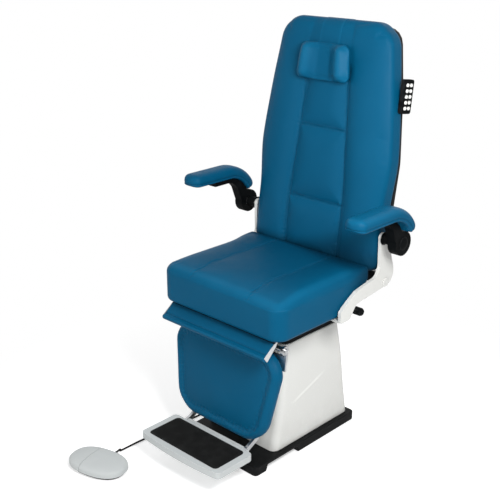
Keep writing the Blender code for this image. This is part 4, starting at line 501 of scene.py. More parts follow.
def sharpen(mesh: bpy.types.Mesh, degrees: float = CRISP) -> None:
    """Shade a mesh smooth but for edges over an angle."""
    mesh.shade_smooth()
    mesh.set_sharp_from_angle(angle=math.radians(degrees))


def mesh_of(name: str, points: Floats, faces: Sequence) -> bpy.types.Mesh:
    """Mesh from points and faces, with doubles merged and faces pointing out.

    Args:
        name: the mesh's name.
        points: rows of x, y, z.
        faces: rows of point numbers.

    Returns:
        The mesh, shaded smooth.
    """
    mesh = bpy.data.meshes.new(name)
    corners = [tuple(int(i) for i in face) for face in faces]
    mesh.from_pydata([tuple(p) for p in np.asarray(points, float)], [], corners)
    bm = bmesh.new()
    bm.from_mesh(mesh)
    bmesh.ops.remove_doubles(bm, verts=bm.verts, dist=1e-6)
    bmesh.ops.recalc_face_normals(bm, faces=bm.faces)
    bm.to_mesh(mesh)
    bm.free()
    mesh.shade_smooth()
    return mesh


def built(name: str, skin: Skin, degrees: Optional[float] = None) -> bpy.types.Object:
    """New piece from points and faces.

    Args:
        name: the piece's name.
        skin: its points and faces.
        degrees: angle over which its edges show; all are smooth without it.

    Returns:
        The piece.
    """
    piece = new_piece(name, mesh_of(name, *skin))
    if degrees:
        sharpen(piece.data, degrees)
    return piece


def settle(obj: bpy.types.Object) -> None:
    """Turn an object's modifiers into its plain mesh."""
    graph = bpy.context.evaluated_depsgraph_get()
    mesh = bpy.data.meshes.new_from_object(obj.evaluated_get(graph), depsgraph=graph)
    obj.modifiers.clear()
    obj.data = mesh


def refine(obj: bpy.types.Object) -> None:
    """Halve the facets of a soft piece."""
    finer = obj.modifiers.new("finer", "SUBSURF")
    finer.levels = finer.render_levels = 1
    settle(obj)


def break_edges(obj: bpy.types.Object, width: float, steps: int, degrees: float) -> None:
    """Bevel the edges of a hard piece.

    Args:
        obj: the piece.
        width: width of the broken edges, in metres.
        steps: facets in each.
        degrees: angle over which an edge is broken.
    """
    edge = obj.modifiers.new("edge", "BEVEL")
    edge.width, edge.segments = width, steps
    edge.limit_method, edge.angle_limit = "ANGLE", math.radians(degrees)
    settle(obj)


def points_of(mesh: bpy.types.Mesh) -> Floats:
    """Points of a mesh as rows of x, y, z."""
    flat = np.zeros(len(mesh.vertices) * 3, np.float32)
    mesh.vertices.foreach_get("co", flat)
    return flat.reshape(-1, 3).astype(float)


def move_to(mesh: bpy.types.Mesh, points: Floats) -> None:
    """Set the points of a mesh."""
    mesh.vertices.foreach_set("co", points.astype(np.float32).ravel())


def normals_of(mesh: bpy.types.Mesh) -> Floats:
    """Outward direction at each point of a mesh."""
    return np.array([normal.vector for normal in mesh.vertex_normals], float).reshape(-1, 3)


def tree_of(mesh: bpy.types.Mesh) -> BVHTree:
    """Search tree of a mesh for rays."""
    return BVHTree.FromPolygons([p.co for p in mesh.vertices], [p.vertices for p in mesh.polygons])


def carry(mesh: bpy.types.Mesh, name: str, values: Floats) -> None:
    """Store one number per point on a mesh for its material to read."""
    layer = mesh.attributes.get(name) or mesh.attributes.new(name, "FLOAT", "POINT")
    layer.data.foreach_set("value", np.asarray(values, np.float32))


def convexity(mesh: bpy.types.Mesh, reach: float) -> Floats:
    """How far each point stands out from its neighbours, as rubbed edges do.

    Args:
        mesh: any mesh.
        reach: height over the neighbours' mean that counts as a full edge, in metres per metre of edge.

    Returns:
        Values from 0 to 1.
    """
    points, normals = points_of(mesh), normals_of(mesh)
    ends = np.zeros(len(mesh.edges) * 2, np.int32)
    mesh.edges.foreach_get("vertices", ends)
    first, second = ends.reshape(-1, 2).T
    step = points[second] - points[first]
    length = np.maximum(np.linalg.norm(step, axis=1), 1e-6)
    rise, count = np.zeros(len(points)), np.zeros(len(points))
    for end, sign in ((first, -1), (second, 1)):
        np.add.at(rise, end, sign * np.einsum("ij,ij->i", step, normals[end]) / length)
        np.add.at(count, end, 1)
    bend = np.clip(rise / np.maximum(count, 1) / reach, 0, 1)
    for _ in range(2):
        total = bend.copy()
        np.add.at(total, first, bend[second])
        np.add.at(total, second, bend[first])
        bend = total / (count + 1)
    return bend


def dress(
    obj: bpy.types.Object, material: bpy.types.Material, body: str, nodes: Sequence[str] = (),
    reach: float = 0.30, painted_highlight: Union[float, Floats] = 0.0,
) -> bpy.types.Object:
    """Give a finished piece its material and let it ride on its body.

    Args:
        obj: the piece, with no modifiers left.
        material: its finish.
        body: the CAD body that carries it.
        nodes: CAD nodes that it stands for.
        reach: slope that counts as a full edge for wear.
        painted_highlight: painted highlight of each point, the least value that its edge value takes.

    Returns:
        The piece.
    """
    obj.data.materials.clear()
    obj.data.materials.append(material)
    # Edge value: wear from convexity, raised to any painted highlight.
    carry(obj.data, "edge", np.maximum(convexity(obj.data, reach), painted_highlight))
    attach(obj, body)
    if nodes:
        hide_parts(*nodes)
    LOG.info("%s: %d faces on %s", obj.name, len(obj.data.polygons), body)
    return obj


def machined(
    node: str, material: bpy.types.Material, bevel: float, steps: int, sharp: float = 35.0,
) -> None:
    """Replace a hard CAD node by itself with merged facets, broken edges and smooth rounds.

    Args:
        node: the CAD node.
        material: its finish.
        bevel: width of the broken edges, in metres.
        steps: facets in each broken edge.
        sharp: angle in degrees over which an edge is broken.
    """
    source = frame["nodes"][node]
    bm = bmesh.new()
    bm.from_mesh(source.data)
    bmesh.ops.remove_doubles(bm, verts=bm.verts, dist=2e-5)
    bmesh.ops.dissolve_limit(bm, angle_limit=math.radians(0.4), verts=bm.verts, edges=bm.edges)
    mesh = bpy.data.meshes.new(node + "_dressed")
    bm.to_mesh(mesh)
    bm.free()
    if "custom_normal" in mesh.attributes:
        mesh.attributes.remove(mesh.attributes["custom_normal"])
    mesh.shade_smooth()
    obj = new_piece(node + "_dressed", mesh)
    break_edges(obj, bevel, steps, sharp)
    obj.data.set_sharp_from_angle(angle=math.radians(CRISP))
    flat = obj.modifiers.new("flat", "WEIGHTED_NORMAL")
    flat.keep_sharp = True
    settle(obj)
    dress(obj, material, source["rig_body"], [node])


def paint(nodes: Iterable[str], material: bpy.types.Material) -> None:
    """Give CAD nodes whose shape stays a finish."""
    for node in nodes:
        data = frame["nodes"][node].data
        data.materials.clear()
        data.materials.append(material)


def swept(rings: Floats, closed_ends: bool = True) -> Skin:
    """Skin of a row of rings with equal counts.

    Args:
        rings: array of rings, points and coordinates.
        closed_ends: whether fans close the two ends.

    Returns:
        Points and faces.
    """
    count, around = rings.shape[:2]
    ids = np.arange(count * around).reshape(count, around)
    nxt = np.roll(ids, -1, axis=1)
    faces = np.stack([ids[:-1], nxt[:-1], nxt[1:], ids[1:]], -1).reshape(-1, 4).tolist()
    points = rings.reshape(-1, 3)
    if closed_ends:
        points = np.vstack([points, rings[0].mean(0), rings[-1].mean(0)])
        for end, middle in ((0, count * around), (-1, count * around + 1)):
            faces += [[b, a, middle] for a, b in zip(ids[end], nxt[end])]
    return points, faces


def turned(profile: Profile, start: Vector, axis: Vector, sides: int = 48) -> Skin:
    """Skin of a profile turned about an axis.

    Args:
        profile: radii and their heights along the axis.
        start: point of height 0.
        axis: unit direction of the axis.
        sides: facets round it.

    Returns:
        Points and faces.
    """
    side = axis.orthogonal().normalized()
    a = math.tau * np.arange(sides) / sides
    spokes = np.outer(np.cos(a), side) + np.outer(np.sin(a), axis.cross(side))
    return swept(np.array([np.array(start + axis * height) + radius * spokes for radius, height in profile]))


def rounded(centres: Profile, radius: float, steps: int) -> Floats:
    """Outline of four quarter turns.

    Args:
        centres: centres of the corners, anticlockwise from that of the highest x and y.
        radius: their radius.
        steps: facets in each.

    Returns:
        Rows of x and y.
    """
    outline = []
    for quarter, centre in enumerate(centres):
        a = math.pi / 2 * (quarter + np.arange(steps + 1) / steps)
        outline.append(centre + radius * np.stack([np.cos(a), np.sin(a)], 1))
    return np.concatenate(outline)


def corners_of(low: Sequence[float], high: Sequence[float], radius: float) -> Profile:
    """Centres of a box's four rounded corners in plan, in the order that rounded takes."""
    (x0, y0), (x1, y1) = (low[0] + radius, low[1] + radius), (high[0] - radius, high[1] - radius)
    return (x1, y1), (x0, y1), (x0, y0), (x1, y0)


def smoothstep(value: Floats) -> Floats:
    """Ease from 0 to 1."""
    t = np.clip(value, 0.0, 1.0)
    return t * t * (3 - 2 * t)


def bell(value: Floats, width: float) -> Floats:
    """Smooth peak of 1 at 0 that falls off over a width."""
    return np.exp(-((value / width) ** 2))


# Repeats made with Geometry Nodes


class Repeat(Nodes):
    """Geometry Nodes tree that sets a small shape along a path or on points and gives it a finish."""

    def __init__(self, name: str) -> None:
        """Start a tree with a geometry input and output."""
        super().__init__(bpy.data.node_groups.new(name, "GeometryNodeTree"))
        for way in ("INPUT", "OUTPUT"):
            self.tree.interface.new_socket("Geometry", in_out=way, socket_type="NodeSocketGeometry")
        self.sizes = {}
        self.start = self.tree.nodes.new("NodeGroupInput")
        self.end = self.tree.nodes.new("NodeGroupOutput")

    def carrier(self) -> Sock:
        """Geometry that the tree reads."""
        return Sock(self, self.start.outputs[0])

    def size(self, name: str, kind: str = "NodeSocketFloat") -> Sock:
        """Add a named input and return its socket inside the tree."""
        item = self.tree.interface.new_socket(name, in_out="INPUT", socket_type=kind)
        self.sizes[name] = item.identifier
        return Sock(self, self.start.outputs[name])

    def close(self, instances: Sock) -> None:
        """End the tree in real geometry with a material input."""
        finish = self.size("Finish", "NodeSocketMaterial")
        real = self.node("GeometryNodeRealizeInstances", {}, {0: instances})
        done = self.node("GeometryNodeSetMaterial", {}, {"Geometry": real, "Material": finish})
        self.feed(self.end.inputs[0], done)

    def run(self, name: str, carrier: bpy.types.ID, **sizes: object) -> bpy.types.Object:
        """Make the repeat on a carrier.

        Args:
            name: the new piece's name.
            carrier: mesh or curve data that the tree reads.
            **sizes: values of the named inputs.

        Returns:
            A plain mesh object.
        """
        guide = new_piece(name + "_guide", carrier)
        modifier = guide.modifiers.new("repeat", "NODES")
        modifier.node_group = self.tree
        for key, value in sizes.items():
            modifier[self.sizes[key]] = value
        graph = bpy.context.evaluated_depsgraph_get()
        mesh = bpy.data.meshes.new_from_object(guide.evaluated_get(graph), depsgraph=graph)
        bpy.data.objects.remove(guide)
        mesh.shade_smooth()
        return new_piece(name, mesh)


def stitch_tree() -> Repeat:
    """Thread stitches at an even pitch along a curve."""
    r = Repeat("stitch_row")
    pitch, length, thick = r.size("Pitch"), r.size("Length"), r.size("Thick")
    even = r.node("GeometryNodeResampleCurve", {"mode": "LENGTH"}, {"Curve": r.carrier(), "Length": pitch})
    bead = r.node("GeometryNodeMeshUVSphere", {}, {"Segments": 6, "Rings": 5, "Radius": 0.5}, "Mesh")
    scale = r.node("ShaderNodeCombineXYZ", {}, {"X": length, "Y": thick, "Z": thick})
    ahead = {"Vector": r.node("GeometryNodeInputTangent")}
    turn = r.node("FunctionNodeAlignRotationToVector", {"axis": "X"}, ahead)
    sewn = {"Points": even, "Instance": bead, "Rotation": turn, "Scale": scale}
    r.close(r.node("GeometryNodeInstanceOnPoints", {}, sewn))
    return r


def stamp_tree() -> Repeat:
    """A small shape set on points, its Z along each point's own direction."""
    r = Repeat("stamped_shape")
    source = {"Object": r.size("Shape", "NodeSocketObject")}
    shape = r.node("GeometryNodeObjectInfo", {"transform_space": "ORIGINAL"}, source, "Geometry")
    out = r.node("GeometryNodeInputNamedAttribute", {"data_type": "FLOAT_VECTOR"}, {"Name": "out"})
    turn = r.node("FunctionNodeAlignRotationToVector", {"axis": "Z"}, {"Vector": out})
    set_down = {"Points": r.carrier(), "Instance": shape, "Rotation": turn}
    r.close(r.node("GeometryNodeInstanceOnPoints", {}, set_down))
    return r


def rib_tree() -> Repeat:
    """Straight ribs side by side: the carrier is one rib, repeated at a pitch."""
    r = Repeat("rib_field")
    count, pitch = r.size("Count", "NodeSocketInt"), r.size("Pitch", "NodeSocketVector")
    line = r.node("GeometryNodeMeshLine", {}, {"Count": count, "Offset": pitch})
    r.close(r.node("GeometryNodeInstanceOnPoints", {}, {"Points": line, "Instance": r.carrier()}))
    return r


def path_curve(name: str, paths: Sequence[Floats]) -> bpy.types.Curve:
    """Curve of straight runs between the points of each path."""
    curve = bpy.data.curves.new(name, "CURVE")
    curve.dimensions = "3D"
    for path in paths:
        spline = curve.splines.new("POLY")
        spline.points.add(len(path) - 1)
        spline.points.foreach_set("co", np.c_[path, np.ones(len(path))].ravel())
    return curve


class Repeats:
    """The chair's Geometry Nodes trees."""

    stitch_pitch: float = 0.0065
    stitch_share: float = 0.72
    thread_d: float = 0.0009

    def __init__(self) -> None:
        """Build each tree once."""
        self.stitches, self.stamps, self.ribs = stitch_tree(), stamp_tree(), rib_tree()

    def sew(self, name: str, paths: Sequence[Floats], finishes: Finishes, body: str) -> None:
        """Sew rows of stitches along paths.

        Args:
            name: the piece's name.
            paths: rows of points on the cushion's surface.
            finishes: the chair's finishes.
            body: the body that carries the stitches.
        """
        length = self.stitch_share * self.stitch_pitch
        piece = self.stitches.run(
            name, path_curve(name, paths), Pitch=self.stitch_pitch, Length=length, Thick=self.thread_d,
            Finish=finishes.thread,
        )
        dress(piece, finishes.thread, body)

    def stamp(
        self, name: str, shape: bpy.types.Mesh, places: Sequence[Vector], out: Vector,
        material: bpy.types.Material, body: str,
    ) -> None:
        """Set a shape down on places.

        Args:
            name: the piece's name.
            shape: mesh with its foot at the origin and its head along Z.
            places: points for its foot.
            out: direction of its head.
            material: the finish.
            body: the body that carries them.
        """
        mesh = bpy.data.meshes.new(name)
        mesh.from_pydata([tuple(at) for at in places], [], [])
        layer = mesh.attributes.new("out", "FLOAT_VECTOR", "POINT")
        layer.data.foreach_set("vector", np.tile(np.array(out), len(places)))
        master = new_piece(name + "_master", shape)
        piece = self.stamps.run(name, mesh, Shape=master, Finish=material)
        bpy.data.objects.remove(master)
        sharpen(piece.data)
        dress(piece, material, body)


def screw_head(radius: float, height: float, socket: float, sides: int = 18) -> bpy.types.Mesh:
    """Low domed screw head with a hexagon socket, foot at the origin.

    Args:
        radius: radius of the head.
        height: height of the head.
        socket: radius of the socket.
        sides: facets round it.

    Returns:
        The mesh.
    """
    head = [(1.0, -0.2), (1.0, 0.35), (0.86, 0.75), (0.66, 1.0)]
    hole = [(1.0, 1.0), (1.0, 0.35), (0.2, 0.3)]
    a = math.tau * np.arange(sides) / sides
    hexed = socket * math.cos(math.pi / 6) / np.cos(a % (math.pi / 3) - math.pi / 6)
    rings = []
    for profile, reach in ((head, np.full(sides, radius)), (hole, hexed)):
        for share, rise in profile:
            r = share * reach
            rings.append(np.stack([r * np.cos(a), r * np.sin(a), np.full(sides, rise * height)], 1))
    mesh = mesh_of("screw_head", *swept(np.array(rings)))
    sharpen(mesh)
    return mesh


# Upholstery


def box_grid(us: Floats, vs: Floats, ws: Floats) -> tuple[Floats, Floats]:
    """Skin of a block of grid lines, as grid values and quads that face out.

    Args:
        us: lines across.
        vs: lines along.
        ws: lines through.

    Returns:
        Grid values of each point, and the quads.
    """
    shape = (len(us), len(vs), len(ws))
    skin = np.zeros(shape, bool)
    skin[[0, -1]] = skin[:, [0, -1]] = skin[:, :, [0, -1]] = True
    index = np.full(shape, -1)
    index[skin] = np.arange(skin.sum())
    i, j, k = np.nonzero(skin)
    faces = []
    for axis in range(3):
        for level in (0, -1):
            sheet = np.take(index, level, axis=axis)
            around = [sheet[:-1, :-1], sheet[1:, :-1], sheet[1:, 1:], sheet[:-1, 1:]]
            quads = np.stack(around, -1).reshape(-1, 4)
            faces.append(quads[:, ::-1] if (level == -1) == (axis == 1) else quads)
    return np.stack([us[i], vs[j], ws[k]], 1), np.concatenate(faces)


def filled(lines: Iterable[float], step: float) -> Floats:
    """Sorted grid lines with even ones added where they are far apart.

    Args:
        lines: lines that the shape needs.
        step: widest space left.

    Returns:
        All lines.
    """
    kept = []
    for line in sorted(lines):
        if not kept or line - kept[-1] > 0.08 * step:
            kept.append(line)
    out = [kept[0]]
    for a, b in zip(kept, kept[1:]):
        parts = max(1, math.ceil((b - a) / step))
        out += [a + (b - a) * n / parts for n in range(1, parts + 1)]
    return np.array(out)


@dataclass
class PadForm:
    """Upholstered slab: u across, v along and w through, with its show face at high w.

    The edge_r rounds the show face and rear_r the rear. A name with low or high has the radius at that end
    of v, and under_corner_r that of the high corners at the rear. A radius of 0 is like its neighbour's.
    """

    half_width: Callable[[Floats], Floats]
    low: float
    high: float
    back: float
    front: float
    corner_r: float
    edge_r: float
    origin: Vector
    along: Vector
    out: Vector
    step: float = 0.010
    sewn_u: Sequence[float] = ()
    sewn_v: Sequence[float] = ()
    rear_r: float = 0.0
    low_corner_r: float = 0.0
    high_edge_r: float = 0.0
    under_corner_r: float = 0.0
    high_rear_r: float = 0.0
    high_from: float = 0.13
    high_over: float = 0.10

    def __post_init__(self) -> None:
        """Round each edge and corner like its neighbours where it has no radius of its own."""
        self.under_corner_r = self.under_corner_r or self.corner_r
        self.rear_r = self.rear_r or self.edge_r
        self.low_corner_r = self.low_corner_r or self.corner_r
        self.high_edge_r = self.high_edge_r or self.edge_r
        self.high_rear_r = self.high_rear_r or self.rear_r

    @staticmethod
    def roll(radius: float, steps: int = 5) -> list[float]:
        """Distances from the outline at which a rolled edge needs a line."""
        return [radius * (1 - math.tan(math.pi / 4 * i / steps)) for i in range(steps + 1)]

    @staticmethod
    def beside(lines: Sequence[float]) -> list[float]:
        """Lines on and beside seams."""
        return [line + d for line in lines for d in (-0.009, -0.0055, -0.0025, 0.0, 0.0025, 0.0055, 0.009)]

    def grid(self) -> tuple[Floats, Floats]:
        """Grid values and quads of the slab's skin."""
        half = float(self.half_width((self.low + self.high) / 2))
        ends = self.roll(self.corner_r) + self.roll(self.edge_r, 6) + self.roll(self.rear_r, 3)
        ends += self.roll(self.low_corner_r) + self.roll(self.high_edge_r, 4)
        ends += self.roll(self.under_corner_r, 4) + self.roll(self.high_rear_r, 4)
        us = [half - d for d in ends] + self.beside(self.sewn_u)
        us = filled({s * u for u in us for s in (1, -1)} | {0.0}, self.step)
        vs = [self.low + d for d in ends] + [self.high - d for d in ends]
        vs = filled(vs + self.beside(self.sewn_v), self.step)
        rear, front = self.roll(self.rear_r, 4) + self.roll(self.high_rear_r, 4), self.roll(self.edge_r, 6)
        ws = filled([self.back + d for d in rear] + [self.front - d for d in front], self.step)
        return box_grid(us / half, vs, ws)

    def local(self, params: Floats) -> dict[str, Floats]:
        """Round the corners and edges of grid values.

        Args:
            params: rows of share across, v and w.

        Returns:
            u, v and w, u and v as shares of their reach, and the weight of the show face.
        """
        share, v, w = params.T
        half = self.half_width(v)
        mid, reach = (self.low + self.high) / 2, (self.high - self.low) / 2
        middle, thick = (self.back + self.front) / 2, (self.front - self.back) / 2
        u, along = np.abs(share) * half, np.abs(v - mid)
        out_u, out_v = u - half, along - reach
        under = smoothstep((middle + 0.4 * thick - w) / (0.9 * thick))
        high_r = self.corner_r + (self.under_corner_r - self.corner_r) * under
        corner_r = np.where(v > mid, high_r, self.low_corner_r)
        corner_u, corner_v = out_u + corner_r, out_v + corner_r
        corner = (corner_u > 0) & (corner_v > 0)
        size = np.maximum(np.hypot(corner_u, corner_v), 1e-9)
        out = np.maximum(out_u, out_v)
        depth = np.abs(w - middle) - thick
        near_high = smoothstep((v - self.high + self.high_from) / self.high_over)
        edge_r = self.edge_r + (self.high_edge_r - self.edge_r) * near_high
        rear_r = self.rear_r + (self.high_rear_r - self.rear_r) * near_high
        radius = np.where(w > middle, edge_r, rear_r)
        side, face = out + radius, depth + radius
        rolled = (side > 0) & (face > 0)
        pull = np.maximum(side, face) / np.maximum(np.hypot(side, face), 1e-9)
        out = np.where(rolled, side * pull - radius, out)
        depth = np.where(rolled, face * pull - radius, depth)
        across = out_u >= out_v
        turn = (corner_r + out) / size
        new_u = np.where(corner, half - corner_r + corner_u * turn, np.where(across, half + out, u))
        new_v = np.where(corner, reach - corner_r + corner_v * turn, np.where(across, along, reach + out))
        return {
            "u": np.copysign(new_u, share), "v": mid + np.copysign(new_v, v - mid),
            "w": middle + np.copysign(thick + depth, w - middle),
            "shown": np.where(w > middle, smoothstep(1 + depth / edge_r), 0.0),
            "u_share": np.minimum(new_u / half, 1.0), "v_share": np.minimum(new_v / reach, 1.0),
        }

    def world(self, u: Floats, v: Floats, w: Floats) -> Floats:
        """Points of the chair's frame."""
        return np.array(self.origin) + np.outer(u, ACROSS) + np.outer(v, self.along) + np.outer(w, self.out)

    def inside(self, points: Floats) -> tuple[Floats, Floats, Floats]:
        """Own u, v and w of points of the chair's frame."""
        rest = points - np.array(self.origin)
        return rest[:, 0], rest @ np.array(self.along), rest @ np.array(self.out)


def plain(u: Floats, v: Floats) -> Floats:
    """No painted shade and no painted highlight anywhere."""
    return np.zeros_like(u)


@dataclass
class Cushion:
    """A padded piece: its form, its relief, its seams, and how far its foam may swell."""

    name: str
    form: PadForm
    relief: Callable[[dict[str, Floats]], Floats]
    seam: Tone
    swell: float
    loose: Callable[[Floats, Floats, Floats], Floats]
    pucker: float = 0.0007
    seam_tone: float = 0.8
    # Painted shade and painted highlight of each point, from u and v.
    painted_shade: Tone = plain
    painted_highlight: Tone = plain
    held_w: float = 0.006
    pucker_w: float = 0.013
    line_w: float = 0.0040
    wear_reach: float = 0.16
    obj: Optional[bpy.types.Object] = None

    def rough(self) -> None:
        """Build the cover before its foam swells, with its seams and rear held."""
        params, faces = self.form.grid()
        at = self.form.local(params)
        w = at["w"] + at["shown"] * (self.relief(at) - 0.3 * self.swell)
        self.obj = built(self.name, (self.form.world(at["u"], at["v"], w), faces))
        held = self.obj.vertex_groups.new(name="held")
        u, v, w = self.form.inside(points_of(self.obj.data))
        free = np.clip(self.loose(u, v, w), 0, 1) * (1 - bell(self.seam(u, v), self.held_w))
        for number, share in enumerate(1 - free):
            if share > 0.02:
                held.add([number], float(share), "REPLACE")

    def inflate(self) -> None:
        """Add the cloth that swells under its foam."""
        cloth = self.obj.modifiers.new("foam", "CLOTH")
        settings = {
            "quality": 4, "mass": 0.15, "tension_stiffness": 12, "compression_stiffness": 12,
            "shear_stiffness": 6, "bending_stiffness": 0.6, "use_pressure": True,
            "uniform_pressure_force": 4.0, "vertex_group_mass": "held",
        }
        for key, value in settings.items():
            setattr(cloth.settings, key, value)
        cloth.settings.effector_weights.gravity = 0.0
        cloth.collision_settings.use_self_collision = False

    def take_shape(self) -> None:
        """Keep the swollen shape, with each point's move capped, and drop the cloth."""
        graph = bpy.context.evaluated_depsgraph_get()
        rest = points_of(self.obj.data)
        move = points_of(self.obj.evaluated_get(graph).to_mesh()) - rest
        far = np.maximum(np.linalg.norm(move, axis=1), 1e-9)
        move *= (self.swell * np.tanh(far / self.swell) / far)[:, None]
        LOG.info("%s swells by up to %.1f mm", self.name, 1000 * np.linalg.norm(move, axis=1).max())
        self.obj.modifiers.clear()
        move_to(self.obj.data, rest + move)

    def sew_in(self, finishes: Finishes, body: str, nodes: Sequence[str]) -> None:
        """Refine the cover, draw its seams in and let it ride.

        Args:
            finishes: the chair's finishes.
            body: the body that carries it.
            nodes: CAD nodes that it stands for.
        """
        refine(self.obj)
        self.obj.vertex_groups.clear()
        mesh = self.obj.data
        points, normals = points_of(mesh), normals_of(mesh)
        u, v, _ = self.form.inside(points)
        facing = np.clip(normals @ np.array(self.form.out), 0, 1)
        gap = self.seam(u, v)
        ripple = np.sin(410 * u + 2.1 * np.sin(63 * v)) + np.sin(390 * v + 1.7 * np.sin(71 * u))
        wave = np.sin(31 * u + 1.3) * np.sin(27 * v + 0.4) + 0.6 * np.sin(57 * u - 44 * v)
        lift = self.pucker * facing * (bell(gap, self.pucker_w) * ripple + 0.35 * wave)
        move_to(mesh, points + normals * lift[:, None])
        dark = self.seam_tone * bell(gap, self.line_w) * facing
        # The seam value darkens the sewn lines and carries the painted shade.
        carry(mesh, "seam", np.maximum(dark, self.painted_shade(u, v)))
        mesh.shade_smooth()
        # Painted highlight on the faces that look out.
        painted_highlight = self.painted_highlight(u, v) * facing
        dress(self.obj, finishes.vinyl, body, nodes, self.wear_reach, painted_highlight)

    def trace(self, u: Floats, v: Floats, lift: float = 0.0002) -> Floats:
        """Path of own coordinates laid on the finished cover.

        Args:
            u: places across.
            v: places along.
            lift: height over the cover.

        Returns:
            Points on the cover.
        """
        tree = tree_of(self.obj.data)
        above = self.form.front + 0.15
        hits = [tree.ray_cast(Vector(start), -self.form.out) for start in self.form.world(u, v, above)]
        return np.array([at + normal * lift for at, normal, *_ in hits if at is not None])


def swell_all(cushions: Sequence[Cushion], frames: int = 20) -> None:
    """Let all cushions swell in one short simulation.

    Args:
        cushions: cushions whose covers are built.
        frames: length of the simulation.
    """
    scene = bpy.context.scene
    for cushion in cushions:
        cushion.inflate()
    for number in range(1, frames + 1):
        scene.frame_set(number)
    for cushion in cushions:
        cushion.take_shape()
    scene.frame_set(1)


def shade_reach(u: Floats) -> Floats:
    """How far the painted shade between seat and back reaches, most on the sitter's left."""
    return 0.055 + 0.080 * smoothstep((u + 0.10) / 0.30)


@dataclass
class Seat:
    """Deep seat cushion on the tray, with two sewn lines along it."""

    half_w: float = 0.270
    front_y: float = -0.290
    rear_y: float = 0.161
    front_corner_r: float = 0.050
    rear_corner_r: float = 0.016
    edge_r: float = 0.037
    rear_edge_r: float = 0.014
    under_r: float = 0.015
    under_corner_r: float = 0.090
    under_rear_r: float = 0.038
    crown: float = 0.009
    panel: float = 0.125
    seam_d: float = 0.0014
    seam_w: float = 0.0055
    stitch_off: float = 0.005
    stitch_end: float = 0.03
    hollow: float = 0.005
    hollow_r: float = 0.13
    hollow_y: float = 0.02
    fall: float = 0.020
    roll_in: float = 0.022
    roll_w: float = 0.018

    def relief(self, at: dict[str, Floats]) -> Floats:
        """Crown, seat hollow, front fall and sewn lines."""
        u, v = at["u"], at["v"]
        dome = self.crown * (1 - at["u_share"] ** 2) * (1 - at["v_share"] ** 6)
        hollow = self.hollow * bell(u, self.hollow_r) * bell(v - self.hollow_y, self.hollow_r)
        worn = 0.6 + 0.4 * u / self.half_w
        fall = self.fall * worn * smoothstep((-v - 0.13) / 0.16) ** 1.5
        return dome - hollow - fall - self.seam_d * bell(np.abs(u) - self.panel, self.seam_w)

    def seam(self, u: Floats, v: Floats) -> Floats:
        """Distance to the sewn lines."""
        return np.abs(np.abs(u) - self.panel)

    def painted_shade(self, u: Floats, v: Floats) -> Floats:
        """Painted shade over the seat's top and beside the back."""
        # Painted shade over the top behind the front roll, away from the sides.
        painted_top_shade = 0.40 * smoothstep((v + 0.26) / 0.09) * smoothstep((self.half_w - np.abs(u) - 0.02) / 0.07)
        reach = shade_reach(u)
        return np.maximum(painted_top_shade, 1.5 * smoothstep((v - self.rear_y + reach) / reach))

    def painted_highlight(self, u: Floats, v: Floats) -> Floats:
        """Painted highlight along the roll round the front and sides."""
        inset = np.minimum(self.half_w - np.abs(u), v - self.front_y)
        return 0.8 * bell(inset - self.roll_in, self.roll_w) * smoothstep((self.rear_y - v - 0.04) / 0.06)

    def cushion(self) -> Cushion:
        """Form and relief of the seat."""
        low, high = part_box("seat_cushion")
        top = high.z - self.crown
        form = PadForm(
            lambda v: np.full_like(v, self.half_w), self.front_y, self.rear_y, low.z, top,
            self.rear_corner_r, self.edge_r, Vector(), REAR, UP, sewn_u=(self.panel,), rear_r=self.under_r,
            low_corner_r=self.front_corner_r, high_edge_r=self.rear_edge_r,
            under_corner_r=self.under_corner_r, high_rear_r=self.under_rear_r,
        )

        def loose(u: Floats, v: Floats, w: Floats) -> Floats:
            """Free on top and at the front; held on the tray and beside the brackets."""
            on_top = smoothstep((w - (top - 0.030)) / 0.025) * smoothstep((self.rear_y - v) / 0.04)
            ahead = smoothstep((-v - 0.20) / 0.06) * smoothstep((w - low.z - 0.02) / 0.04)
            return np.maximum(on_top, 0.6 * ahead)

        return Cushion(
            "seat_upholstery", form, self.relief, self.seam, 0.007, loose, seam_tone=0.25, painted_shade=self.painted_shade,
            painted_highlight=self.painted_highlight,
        )

    def finish(self, cushion: Cushion, finishes: Finishes, repeats: Repeats) -> None:
        """Sew the seat."""
        cushion.sew_in(finishes, "carriage", ["seat_cushion"])
        v = np.linspace(self.front_y + self.stitch_end, self.rear_y - self.stitch_end, 60)
        lines = [s * (self.panel + d) for s in (1, -1) for d in (-self.stitch_off, self.stitch_off)]
        repeats.sew("seat_stitches", [cushion.trace(line, v) for line in lines], finishes, "carriage")


